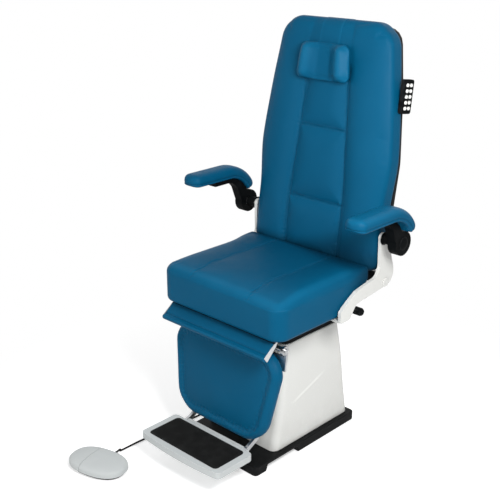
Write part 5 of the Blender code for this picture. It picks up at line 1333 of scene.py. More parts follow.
@dataclass
class BackRest:
    """Tall back: tapered cushion with a sewn centre panel between two bolsters, strap and rear shell."""

    tilt: float = math.radians(7.5)
    low: float = 0.034
    low_corner_r: float = 0.034
    high: float = 0.846
    rear: float = -0.015
    front: float = 0.068
    root_half: float = 0.272
    root_top: float = 0.235
    waist_half: float = 0.282
    waist_v: float = 0.400
    head_half: float = 0.223
    corner_r: float = 0.074
    edge_r: float = 0.028
    grid_step: float = 0.0105
    crown: float = 0.006
    panel_low: float = 0.120
    panel_high: float = 0.100
    seam_low: float = 0.232
    seam_high: float = 0.485
    seam_end: float = 0.690
    seam_d: float = 0.0075
    seam_w: float = 0.009
    stitch_off: float = 0.0055
    bolster: float = 0.011
    puff: float = 0.004
    strap_half: float = 0.043
    strap_t: float = 0.0011
    strap_low: float = 0.655
    strap_tail: float = 0.080
    strap_turn: float = math.radians(150)
    shell_rear: float = -0.0296
    bead_in: float = 0.062
    bead_r: float = 0.0045
    bead_end: float = 0.13
    bead_turn: float = 0.045
    screws: Profile = ((0.10, 0.86), (0.30, 0.88), (0.52, 0.87), (0.72, 0.84))

    def half_width(self, v: Floats) -> Floats:
        """Half width of the back at heights along it."""
        swell = smoothstep((v - self.root_top) / (self.waist_v - self.root_top))
        share = np.maximum(0.0, (v - self.waist_v) / (self.high - self.waist_v))
        waist = self.root_half + (self.waist_half - self.root_half) * swell
        return waist + (self.head_half - self.waist_half) * share ** 1.3

    def panel(self, v: Floats) -> Floats:
        """Half width of the centre panel."""
        share = np.clip((v - self.seam_low) / (self.seam_high - self.seam_low), 0, 1.6)
        return self.panel_low + (self.panel_high - self.panel_low) * share

    def cross_seam(self, v: Floats) -> Floats:
        """Distance along the back to the nearer cross seam."""
        return np.minimum(np.abs(v - self.seam_low), np.abs(v - self.seam_high))

    def seam(self, u: Floats, v: Floats) -> Floats:
        """Distance to the nearest sewn line."""
        side = np.abs(u) - self.panel(v)
        upright = np.abs(side) + 0.3 * np.maximum(0.0, v - self.seam_end)
        return np.minimum(upright, self.cross_seam(v) + np.maximum(0.0, side))

    def relief(self, at: dict[str, Floats]) -> Floats:
        """Crown, bolsters, panel puffs and grooves of the show face."""
        u, v = at["u"], at["v"]
        half, panel = self.half_width(v), self.panel(v)
        side = np.abs(u) - panel
        fade = 1 - smoothstep((v - self.seam_end + 0.04) / 0.08)
        t = np.clip(side / (half - panel), 0, 1)
        bulge = self.bolster * np.sin(math.pi * t ** 0.75) * (0.35 + 0.65 * fade)
        dome = self.crown * (1 - at["u_share"] ** 2) * (1 - at["v_share"] ** 8)
        puff = self.puff * smoothstep(self.cross_seam(v) / 0.06) * smoothstep(-side / 0.05)
        return dome + bulge + puff - self.seam_d * bell(self.seam(u, v), self.seam_w) * fade

    def loose(self, u: Floats, v: Floats, w: Floats) -> Floats:
        """Free on the show face, held at the rear, beside the brackets and under the strap's roll."""
        return smoothstep((w - self.front + 0.022) / 0.02)

    def painted_shade(self, u: Floats, v: Floats) -> Floats:
        """Painted shade beside the seat."""
        reach = shade_reach(u)
        return 1.5 * smoothstep((self.low + 0.010 + reach - v) / reach)

    def cushion(self) -> Cushion:
        """Form of the back."""
        along = Vector((0, math.sin(self.tilt), math.cos(self.tilt)))
        out = Vector((0, -math.cos(self.tilt), math.sin(self.tilt)))
        form = PadForm(
            self.half_width, self.low, self.high, self.rear, self.front, self.corner_r, self.edge_r,
            PIVOTS["back_recline"], along, out, sewn_u=((self.panel_low + self.panel_high) / 2,),
            sewn_v=(self.seam_low, self.seam_high), step=self.grid_step, low_corner_r=self.low_corner_r,
        )
        return Cushion(
            "back_upholstery", form, self.relief, self.seam, 0.006, self.loose, seam_tone=0.5, painted_shade=self.painted_shade,
        )

    def finish(self, cushion: Cushion, finishes: Finishes, repeats: Repeats) -> None:
        """Sew the back, lay the strap over its top and dress the shell behind it."""
        cushion.sew_in(finishes, "back", ["back_cushion"])
        offsets = (-self.stitch_off, self.stitch_off)
        v = np.linspace(self.low + 0.03, self.seam_end, 110)
        paths = [cushion.trace(sign * (self.panel(v) + d), v) for sign in (1, -1) for d in offsets]
        for line in (self.seam_low, self.seam_high):
            reach = self.panel(line) - 0.004
            paths += [cushion.trace(np.linspace(-reach, reach, 50), line + d) for d in offsets]
        repeats.sew("back_stitches", paths, finishes, "back")
        self.strap(cushion, finishes)
        machined("back_shell", finishes.shell, 0.0045, 4)
        self.bead(cushion.form, finishes)
        machined("back_frame", finishes.dark_steel, 0.0008, 2)
        places = []
        for v_at, share in self.screws:
            reach = share * self.half_width(v_at)
            places += [cushion.form.world(sign * reach, v_at, self.shell_rear)[0] for sign in (1, -1)]
        head = screw_head(0.0058, 0.0030, 0.0026)
        steel = finishes.dark_steel
        repeats.stamp("shell_screws", head, places, -cushion.form.out, steel, "back")

    def bead(self, form: PadForm, finishes: Finishes) -> None:
        """Raise a rounded bead round the rear shell's panel."""
        turn, facets = self.bead_turn, 12
        foot, top = self.bead_end + turn, self.high - self.bead_end - turn
        line = []
        for sign, v_mid, start, ends in ((1, top, 0.0, ()), (-1, top, 0.5, (top, foot)),
                                         (-1, foot, 1.0, ()), (1, foot, 1.5, (foot, top))):
            for a in math.pi * (start + np.linspace(0, 0.5, 9)):
                v = v_mid + turn * math.sin(a)
                line.append((sign * (self.half_width(v) - self.bead_in - turn) + turn * math.cos(a), v))
            if ends:
                upright = np.linspace(*ends, 26)[1:-1]
                line += zip(sign * (self.half_width(upright) - self.bead_in), upright)
        path = np.array(line)
        ahead = np.roll(path, -1, 0) - np.roll(path, 1, 0)
        side = np.stack([ahead[:, 1], -ahead[:, 0]], 1) / np.linalg.norm(ahead, axis=1)[:, None]
        b = math.tau * np.arange(facets) / facets
        plan = path[:, None] + side[:, None] * (self.bead_r * np.cos(b))[None, :, None]
        rise = np.broadcast_to(self.shell_rear - 0.6 * self.bead_r * np.sin(b), plan.shape[:2])
        rings = form.world(plan[..., 0], plan[..., 1], rise).reshape(len(path), facets, 3)
        skin = swept(np.concatenate([rings, rings[:1]]), closed_ends=False)
        dress(built("shell_bead", skin), finishes.shell, "back", ())

    def strap(self, cushion: Cushion, finishes: Finishes) -> None:
        """Lay the pillow's strap on the show face, over the top and down the shell."""
        form, tree = cushion.form, tree_of(cushion.obj.data)
        lift = 0.0002 + self.strap_t / 2
        pivot_v, pivot_w = self.high - 0.05, (self.front + self.rear) / 2
        across = np.linspace(-self.strap_half, self.strap_half, 13)
        starts = [(v, self.front + 0.1, -form.out) for v in np.linspace(self.strap_low, pivot_v, 34)]
        for a in np.linspace(0, self.strap_turn, 26)[1:]:
            starts.append((pivot_v, pivot_w, form.along * math.sin(a) + form.out * math.cos(a)))
        rows = []
        for v, w, way in starts:
            rise = lift * (way if w < self.front else -way).normalized()
            rows.append([tree.ray_cast(Vector(at), way)[0] + rise for at in form.world(across, v, w)])
        for v in np.linspace(self.high - 0.020, self.high - self.strap_tail, 12):
            rows.append([Vector(at) for at in form.world(across, v, self.shell_rear - lift)])
        sheet = np.array(rows)
        count, width = sheet.shape[:2]
        ids = np.arange(count * width).reshape(count, width)
        quads = np.stack([ids[:-1, :-1], ids[:-1, 1:], ids[1:, 1:], ids[1:, :-1]], -1).reshape(-1, 4)
        strap = built("pillow_strap_band", (sheet.reshape(-1, 3), quads))
        wall = strap.modifiers.new("wall", "SOLIDIFY")
        wall.thickness, wall.offset = self.strap_t, 0.0
        settle(strap)
        sharpen(strap.data, SOFT)
        dress(strap, finishes.vinyl, "back", ["pillow_strap"])


@dataclass
class HeadPillow:
    """Two-lobed head pillow that slides on its strap."""

    mid: float = 0.703
    height: float = 0.122
    half_low: float = 0.113
    half_high: float = 0.100
    thick: float = 0.050
    rear: float = 0.0776
    edge_r: float = 0.0245
    grid_step: float = 0.006
    sunk: float = 0.020
    lobe: float = 0.026
    lobe_share: float = 0.70
    lobe_width: float = 0.26

    def half_width(self, v: Floats) -> Floats:
        """Half width, more at the lower edge."""
        share = (v - self.mid) / self.height + 0.5
        return self.half_low + (self.half_high - self.half_low) * share

    def relief(self, at: dict[str, Floats]) -> Floats:
        """Two lobes with a soft valley between them."""
        off = np.abs(at["u"] / self.half_width(at["v"])) - self.lobe_share
        return self.lobe * bell(off, self.lobe_width) * (1 - 0.3 * at["v_share"] ** 4) - self.sunk

    def seam(self, u: Floats, v: Floats) -> Floats:
        """Distance to the middle crease."""
        return np.abs(u) + 0.02

    def loose(self, u: Floats, v: Floats, w: Floats) -> Floats:
        """Free but for its rear."""
        return smoothstep((w - self.rear - 0.012) / 0.015) * (1 - 0.6 * bell(u, 0.02))

    def painted_highlight(self, u: Floats, v: Floats) -> Floats:
        """Painted highlight on the lobes."""
        return bell(np.minimum(np.abs(u) / self.half_width(v) - self.lobe_share, 0.0), self.lobe_width)

    def cushion(self, back: PadForm) -> Cushion:
        """Form of the pillow, in the back's own directions."""
        form = PadForm(
            self.half_width, self.mid - self.height / 2, self.mid + self.height / 2, self.rear,
            self.rear + self.thick - 0.004, self.edge_r, self.edge_r, back.origin, back.along, back.out,
            step=self.grid_step,
        )
        return Cushion(
            "pillow_upholstery", form, self.relief, self.seam, 0.004, self.loose, pucker=0.0005,
            painted_highlight=self.painted_highlight,
        )

    def finish(self, cushion: Cushion, finishes: Finishes, repeats: Repeats) -> None:
        """Cover the pillow, which shows no stitches."""
        cushion.sew_in(finishes, "pillow", ["head_pillow"])


@dataclass
class LegRest:
    """Leg cushion with a raised sewn border, on its steel plate."""

    tilt: float = math.radians(8.3)
    top: float = 0.016
    bottom: float = 0.340
    rear: float = -0.006
    front: float = 0.033
    half_top: float = 0.240
    half_low: float = 0.197
    taper_from: float = 0.090
    corner_r: float = 0.084
    edge_r: float = 0.0185
    grid_step: float = 0.007
    border: float = 0.036
    roll_h: float = 0.0050
    roll_in: float = 0.021
    roll_w: float = 0.012
    seam_d: float = 0.0026
    seam_w: float = 0.008
    stitch_off: float = 0.0045
    crown: float = 0.004

    def half_width(self, s: Floats) -> Floats:
        """Half width of the leg cushion."""
        share = np.maximum(0.0, (s - self.taper_from) / (self.bottom - self.taper_from))
        return self.half_top + (self.half_low - self.half_top) * share

    def inset(self, u: Floats, s: Floats) -> Floats:
        """Distance inside the cushion's outline."""
        mid, reach = (self.top + self.bottom) / 2, (self.bottom - self.top) / 2
        out_u, out_v = np.abs(u) - self.half_width(s), np.abs(s - mid) - reach
        cu, cv = out_u + self.corner_r, out_v + self.corner_r
        corner = (cu > 0) & (cv > 0)
        return -np.where(corner, np.hypot(cu, cv) - self.corner_r, np.maximum(out_u, out_v))

    def seam(self, u: Floats, s: Floats) -> Floats:
        """Distance to the border's sewn line."""
        return np.abs(self.inset(u, s) - self.border)

    def relief(self, at: dict[str, Floats]) -> Floats:
        """Raised border roll, sewn line and a low crown inside it."""
        inset = self.inset(at["u"], at["v"])
        roll = self.roll_h * bell(inset - self.roll_in, self.roll_w)
        dome = self.crown * (1 - at["u_share"] ** 2) * (1 - at["v_share"] ** 4)
        return dome + roll - self.seam_d * bell(inset - self.border, self.seam_w)

    def loose(self, u: Floats, s: Floats, w: Floats) -> Floats:
        """Free on the show face."""
        return smoothstep((w - self.front + 0.014) / 0.012)

    def cushion(self) -> Cushion:
        """Form of the leg cushion, whose v runs down."""
        down = Vector((0, -math.sin(self.tilt), -math.cos(self.tilt)))
        out = Vector((0, -math.cos(self.tilt), math.sin(self.tilt)))
        form = PadForm(
            self.half_width, self.top, self.bottom, self.rear, self.front, self.corner_r, self.edge_r,
            PIVOTS["leg_raise"], down, out, step=self.grid_step,
        )
        return Cushion("leg_upholstery", form, self.relief, self.seam, 0.004, self.loose, seam_tone=0.12)

    def finish(self, cushion: Cushion, finishes: Finishes, repeats: Repeats) -> None:
        """Sew the leg rest and dress its metal."""
        cushion.sew_in(finishes, "leg", ["leg_cushion"])
        low, high = self.bottom - self.corner_r, self.top + self.corner_r
        wide, slim = self.half_width(high) - self.corner_r, self.half_width(low) - self.corner_r
        centres = ((slim, low), (-slim, low), (-wide, high), (wide, high))
        paths = []
        for depth in (self.border - self.stitch_off, self.border + self.stitch_off):
            outline = rounded(centres, self.corner_r - depth, 8)
            runs = [np.linspace(a, b, 8)[:-1] for a, b in zip(outline, np.roll(outline, -1, 0))]
            paths.append(cushion.trace(*np.concatenate(runs).T))
        repeats.sew("leg_stitches", paths, finishes, "leg")
        machined("leg_frame", finishes.zinc, 0.0010, 2)
        machined("leg_hinge_shaft", finishes.tube, 0.0012, 2)


@dataclass
class KneeFlap:
    """Thin padded flap under the seat's front on a metal plate, painted dark as shade but bright at its
    ends.
    """

    tilt: float = math.radians(36.7)
    half_w: float = 0.2335
    start: float = 0.008
    length: float = 0.071
    top: float = 0.006
    thick_root: float = 0.010
    thick_tip: float = 0.020
    hem: float = 0.012
    hem_d: float = 0.0022
    hem_w: float = 0.0035
    curl: float = 0.0035
    sag: float = 0.0010
    end_r: float = 0.006

    def section(self) -> tuple[Floats, Floats]:
        """Outline across the flap, as distances along it and heights over its hinge."""
        lip, reach = self.thick_tip / 2, self.length - self.start
        hem_s = self.length - lip - self.hem
        s = np.linspace(self.start, self.length - lip, 22)
        share = (s - self.start) / reach
        curl = self.curl * (share ** 3 - 0.9 * np.sin(math.pi * share))
        upper = np.stack([s, self.top + curl - self.hem_d * bell(s - hem_s, self.hem_w)])
        a = np.linspace(math.pi / 2, -math.pi / 2, 14)[1:-1]
        middle = self.top - lip + self.curl / 2
        nose = np.stack([self.length - lip + lip * np.cos(a), middle + (lip + self.curl / 2) * np.sin(a)])
        s = np.linspace(self.length - lip, self.start, 14)
        slope = (self.thick_tip - self.thick_root) / reach
        under = np.stack([s, self.top - self.thick_root - slope * (s - self.start)])
        return tuple(np.concatenate([upper, nose, under], 1))

    def build(self, finishes: Finishes, repeats: Repeats) -> None:
        """Build the flap, its hem and its plate."""
        hinge = np.array(PIVOTS["flap_lift"])
        along = np.array((0, -math.cos(self.tilt), -math.sin(self.tilt)))
        out = np.array((0, -math.sin(self.tilt), math.cos(self.tilt)))
        hem_s = self.length - self.thick_tip / 2 - self.hem
        s, n = self.section()
        u = np.linspace(-self.half_w, self.half_w, 97)[:, None]
        end = np.minimum(1.0, (self.half_w - np.abs(u)) / self.end_r)
        squeeze = 1 - 0.16 * (1 - np.sqrt(1 - (1 - end) ** 2))
        centre = self.top - 0.5 * self.thick_root
        rise = centre + (n + self.sag * np.sin(23 * u) * np.sin(40 * s) - centre) * squeeze
        rings = hinge + u[..., None] * np.array(ACROSS) + s[:, None] * along + rise[..., None] * out
        flap = built("knee_flap_upholstery", swept(rings), 55.0)
        s_all = (points_of(flap.data) - hinge) @ along
        stitched = 0.45 * bell(s_all - hem_s, 0.0032)
        # Painted shade on the flap's upper part, under the seat's front.
        shaded = 0.60 * (1 - smoothstep((s_all - self.start) / (0.62 * self.length)))
        carry(flap.data, "seam", np.maximum(stitched, shaded))
        dress(flap, finishes.vinyl, "flap", ["knee_flap"], reach=0.2)
        u = np.linspace(-self.half_w + 0.008, self.half_w - 0.008, 90)
        row = hinge + np.outer(u, ACROSS) + along * hem_s + out * (self.top + 0.0004)
        repeats.sew("flap_stitches", [row], finishes, "flap")
        machined("flap_plate", finishes.strip, 0.0005, 2)


@dataclass
class ArmRest:
    """Arm rest: long padded top that bends down at the rear, on a thick black bracket."""

    hand: Hand
    # Painted highlight on the pad's top, 0 for none.
    wear_and_highlight: float
    ahead: float = 0.102
    bend_r: float = 0.101
    straight: float = 0.147
    tip_r: float = 0.030
    tail_r: float = 0.016
    thick: float = 0.045
    half_w: float = 0.040
    bend_end: float = math.radians(25.6)
    sides: int = 44
    seam_share: float = 0.30
    seam_d: float = 0.0016
    seam_w: float = 0.0022
    cap: Profile = ((0.0225, -0.001), (0.0225, 0.0012), (0.0205, 0.0026), (0.012, 0.0036), (0.001, 0.0039))

    def spine(self, centre: Floats) -> Floats:
        """Line under the pad from its tip to its tail, as rows of y, z and the outward y and z."""
        tip = centre[0] - self.straight
        nose = tip - self.tip_r * np.cos(np.linspace(0, math.pi / 2, 16))
        y = np.r_[nose, np.linspace(tip, centre[0], 34)[1:-1]]
        level = np.stack([y, np.full_like(y, centre[1] + self.bend_r), 0 * y, 0 * y + 1], 1)
        a = np.linspace(math.pi / 2, self.bend_end, 34)
        out = np.stack([np.cos(a), np.sin(a)], 1)
        return np.vstack([level, np.hstack([centre + self.bend_r * out, out])])

    def rings(self, pivot: Vector, centre: Floats) -> Floats:
        """Rings of the pad, rounded at its tip and drawn in at its tail."""
        spine = self.spine(centre)
        walked = np.r_[0, np.cumsum(np.linalg.norm(np.diff(spine[:, :2], axis=0), axis=1))][:, None]
        near = np.maximum(0.0, 1 - walked / self.tip_r)
        tail = np.maximum(0.0, 1 - (walked[-1] - walked) / self.tail_r)
        width = np.maximum(np.sqrt(1 - near ** 2.2) * (1 - 0.10 * tail ** 2), 0.12)
        height = np.sqrt(1 - 0.92 * near ** 2.6) * np.sqrt(1 - 0.55 * tail ** 3)
        a = math.tau * np.arange(self.sides) / self.sides
        c, s = np.cos(a), np.sin(a)
        low, mid = self.seam_share, 0.42
        up = np.where(s >= 0, low + (1 - low) * np.abs(s) ** 0.80, low - low * np.abs(s) ** 0.45)
        up = (mid + (up - mid) * height) * self.thick
        x = pivot.x + np.copysign(np.abs(c) ** 0.62, c) * self.half_w * width
        y, z, out_y, out_z = spine.T[..., None]
        return np.stack([x, y + out_y * up, z + out_z * up], -1)

    def build(self, finishes: Finishes) -> None:
        """Build the pad, its seam and its bracket."""
        hand = self.hand.word
        pivot = PIVOTS["arm_%s_flip" % hand]
        body, bracket = "arm_" + hand, "arm_bracket_" + hand
        centre = np.array((pivot.y - self.ahead, pivot.z))
        pad = built("arm_pad_%s_upholstery" % hand, swept(self.rings(pivot, centre)))
        refine(pad)
        pad.data.shade_smooth()
        rest, normals = points_of(pad.data), normals_of(pad.data)
        from_centre = np.hypot(rest[:, 1] - centre[0], rest[:, 2] - centre[1])
        height = np.where(rest[:, 1] < centre[0], rest[:, 2] - centre[1], from_centre) - self.bend_r
        line = height - self.seam_share * self.thick
        move_to(pad.data, rest - normals * (self.seam_d * bell(line, self.seam_w))[:, None])
        carry(pad.data, "seam", 0.8 * bell(line, 0.0020))
        # Painted highlight on the faces that look up.
        painted_highlight = self.wear_and_highlight * np.clip(normals[:, 2], 0, 1)
        dress(pad, finishes.vinyl, body, ["arm_pad_" + hand], 0.22, painted_highlight)
        machined(bracket, finishes.black, 0.0050, 4, sharp=42.0)
        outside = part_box(bracket)[self.hand is Hand.LEFT].x
        skin = turned(self.cap, Vector((outside, pivot.y, pivot.z)), self.hand.value * ACROSS)
        dress(built("arm_hub_cap_" + hand, skin, CRISP), finishes.black, body)


# Hard parts


@dataclass
class BaseUnit:
    """Black plate, tapered white cover with its collar, and the lift inside it."""

    half_foot: float = 0.163
    half_top: float = 0.150
    front_foot: float = -0.187
    front_top: float = -0.120
    rear_foot: float = 0.215
    rear_top: float = 0.162
    corner_r: float = 0.026
    facet: float = 0.010
    wall: float = 0.004
    crease: float = 0.0045
    crease_reach: float = 0.15
    crease_ease: float = 0.12
    flank: float = 0.03
    window: Triple = (0.0292, 0.05, 0.0212)
    pin: Profile = ((0.0012, 0.0), (0.0012, 0.012), (0.0006, 0.014))
    pins: Profile = ((-0.006, -0.002), (0.006, -0.002), (0.0, 0.003))
    pin_in: float = 0.0035

    def plan(self, share: float, inset: float) -> Floats:
        """Plan of the cover at a share of its height, drawn in by an inset, as x and y."""
        half = self.half_foot + (self.half_top - self.half_foot) * share - inset
        front = self.front_foot + (self.front_top - self.front_foot) * share + inset
        rear = self.rear_foot + (self.rear_top - self.rear_foot) * share - inset
        r = self.corner_r - inset
        ring = rounded(corners_of((-half, front), (half, rear), r), r, 10)
        dense = []
        for a, b in zip(ring, np.roll(ring, -1, 0)):
            parts = max(1, round(math.dist(a, b) / self.facet))
            dense.append(a + np.outer(np.arange(parts) / parts, b - a))
        return np.concatenate(dense)

    def cover(self, finishes: Finishes) -> None:
        """Build the cover with its soft crease and the socket's window."""
        low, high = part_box("base_cover")
        levels = [(0.0, 0.0012), (0.003, 0.0)] + [(share, 0.0) for share in np.linspace(0.01, 0.985, 44)]
        levels += [(0.995, 0.0006), (1.0, 0.0026)] + [(share, self.wall) for share in (1.0, 0.5, 0.0)]
        count = len(self.plan(0.0, 0.0))
        rings = []
        for share, inset in levels:
            plan = self.plan(share, inset)
            around = np.vstack([plan, plan[:1]])
            spots = np.linspace(0, len(plan), count, endpoint=False)
            x, y = (np.interp(spots, np.arange(len(around)), line) for line in around.T)
            z = low.z + (high.z - low.z) * share
            off = z - (COVER_CREASE[0] + COVER_CREASE[1] * y)
            bulge = self.crease * np.clip(1 - np.abs(off) / self.crease_reach, 0, 1) * (inset < self.wall)
            ease = smoothstep(min(share, 1 - share) / self.crease_ease)
            x = x + np.where(np.abs(x) > self.half_top - self.flank, np.sign(x) * bulge * ease, 0.0)
            rings.append(np.stack([x, y, np.full(count, z)], 1))
        cover = built("base_cover_shell", swept(np.array([*rings, rings[0]]), closed_ends=False))
        block = bmesh.new()
        inlet_low, inlet_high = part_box("mains_inlet")
        at = Matrix.LocRotScale((inlet_low + inlet_high) / 2, None, Vector(self.window))
        bmesh.ops.create_cube(block, size=1.0, matrix=at)
        mesh = bpy.data.meshes.new("inlet_window")
        block.to_mesh(mesh)
        block.free()
        tool = new_piece("inlet_window", mesh)
        cut = cover.modifiers.new("window", "BOOLEAN")
        cut.operation, cut.object = "DIFFERENCE", tool
        settle(cover)
        bpy.data.objects.remove(tool)
        sharpen(cover.data, SOFT)
        dress(cover, finishes.cover, "base", ["base_cover"])

    def build(self, finishes: Finishes, repeats: Repeats) -> None:
        """Dress the base."""
        self.cover(finishes)
        machined("base_plate", finishes.plate, 0.0030, 4)
        machined("cover_collar", finishes.black, 0.0030, 3)
        machined("mains_inlet", finishes.black, 0.0008, 2)
        machined("cord_gland", finishes.black, 0.0010, 2)
        paint(["lift_column", "lift_jack", "control_box"], finishes.black)
        low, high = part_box("mains_inlet")
        x, z = (low.x + high.x) / 2, (low.z + high.z) / 2
        pin = mesh_of("socket_pin", *turned(self.pin, Vector(), UP, 10))
        places = [Vector((x + dx, low.y + self.pin_in, z + dz)) for dx, dz in self.pins]
        repeats.stamp("socket_pins", pin, places, REAR, finishes.zinc, "base")


@dataclass
class Carriage:
    """Tray, shroud, side brackets and hinge pins that rise with the seat."""

    bracket_out: float = 0.288
    boss_end: float = 0.330
    bush_r: float = 0.0178
    bush_gap: float = 0.0004
    bush_short: float = 0.0010

    def bush(self, hand: Hand, finishes: Finishes) -> None:
        """Slip a black bush over the boss that carries an arm rest."""
        pivot = PIVOTS["arm_%s_flip" % hand.word]
        start = Vector((hand.value * (self.bracket_out + self.bush_gap), pivot.y, pivot.z))
        length = self.boss_end - self.bracket_out - self.bush_short
        profile = [
            (0.5, 0.0), (1.22, 0.0), (1.28, 0.0010), (1.22, 0.0030), (1.0, 0.0042), (1.0, length - 0.0010),
            (0.97, length), (0.5, length),
        ]
        skin = turned([(self.bush_r * share, at) for share, at in profile], start, hand.value * ACROSS)
        piece = built("arm_pivot_bush_" + hand.word, skin, CRISP)
        dress(piece, finishes.black, "carriage")

    def build(self, finishes: Finishes) -> None:
        """Dress the carriage's hard parts."""
        machined("seat_tray", finishes.dark_steel, 0.0008, 2)
        machined("lift_shroud", finishes.black, 0.0008, 2)
        for hand in Hand:
            machined("side_bracket_" + hand.word, finishes.bracket, 0.0026, 4, sharp=30.0)
            machined("back_hinge_pin_" + hand.word, finishes.bracket, 0.0010, 2)
            self.bush(hand, finishes)
        paint(["lift_mast", "lift_rod", "back_rod", "leg_rod"], finishes.tube)
        paint(["back_actuator", "leg_actuator"], finishes.black)
        machined("lever_block", finishes.dark_steel, 0.0008, 2)
        machined("lever_rod", finishes.dark_steel, 0.0006, 2)
        machined("lever_knob", finishes.black, 0.0022, 3)


@dataclass
class Keypad:
    """Black keypad on the back's side with ten white buttons."""

    buttons: int = 10

    def build(self, finishes: Finishes) -> None:
        """Dress the keypad."""
        machined("keypad_case", finishes.black, 0.0018, 3)
        for number in range(1, self.buttons + 1):
            machined("button_%d" % number, finishes.button, 0.0005, 2)


@dataclass
class Footplate:
    """Pale grey frame with a ribbed rubber mat."""

    corner_r: float = 0.013
    edge: float = 0.0008
    edge_share: float = 0.994
    pitch: float = 0.0046
    rib_h: float = 0.0016
    rib_share: float = 0.27
    rib_edge: float = 0.0004
    rib_sunk: float = 0.0006
    margin: float = 0.007

    def build(self, finishes: Finishes, repeats: Repeats) -> None:
        """Dress the footplate and lay its mat."""
        machined("footplate_frame", finishes.grey, 0.0035, 4)
        low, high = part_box("footplate_mat")
        base_top = high.z - self.rib_h
        plan = rounded(corners_of(low, high, self.corner_r), self.corner_r, 8)
        middle = plan.mean(0)
        levels = ((low.z, 1.0), (base_top - self.edge, 1.0), (base_top, self.edge_share))
        rings = [np.c_[middle + (plan - middle) * share, np.full(len(plan), z)] for z, share in levels]
        slab = built("mat_slab", swept(np.array(rings)), CRISP)
        dress(slab, finishes.mat, "foot", ["footplate_mat"])
        count = int((high.y - low.y - 2 * self.margin) / self.pitch)
        first = (low.y + high.y) / 2 - self.pitch * (count - 1) / 2
        half = self.pitch * self.rib_share
        side = [(1.3, base_top - self.rib_sunk), (1.0, high.z - self.rib_edge), (0.6, high.z)]
        section = [(-share, z) for share, z in side] + side[::-1]
        ends = (low.x + self.margin, high.x - self.margin)
        rings = [[(x, first + half * share, z) for share, z in section] for x in ends]
        rib = mesh_of("mat_rib", *swept(np.array(rings)))
        ribs = repeats.ribs.run("mat_ribs", rib, Count=count, Pitch=(0, self.pitch, 0), Finish=finishes.mat)
        sharpen(ribs.data, 30.0)
        dress(ribs, finishes.mat, "foot")


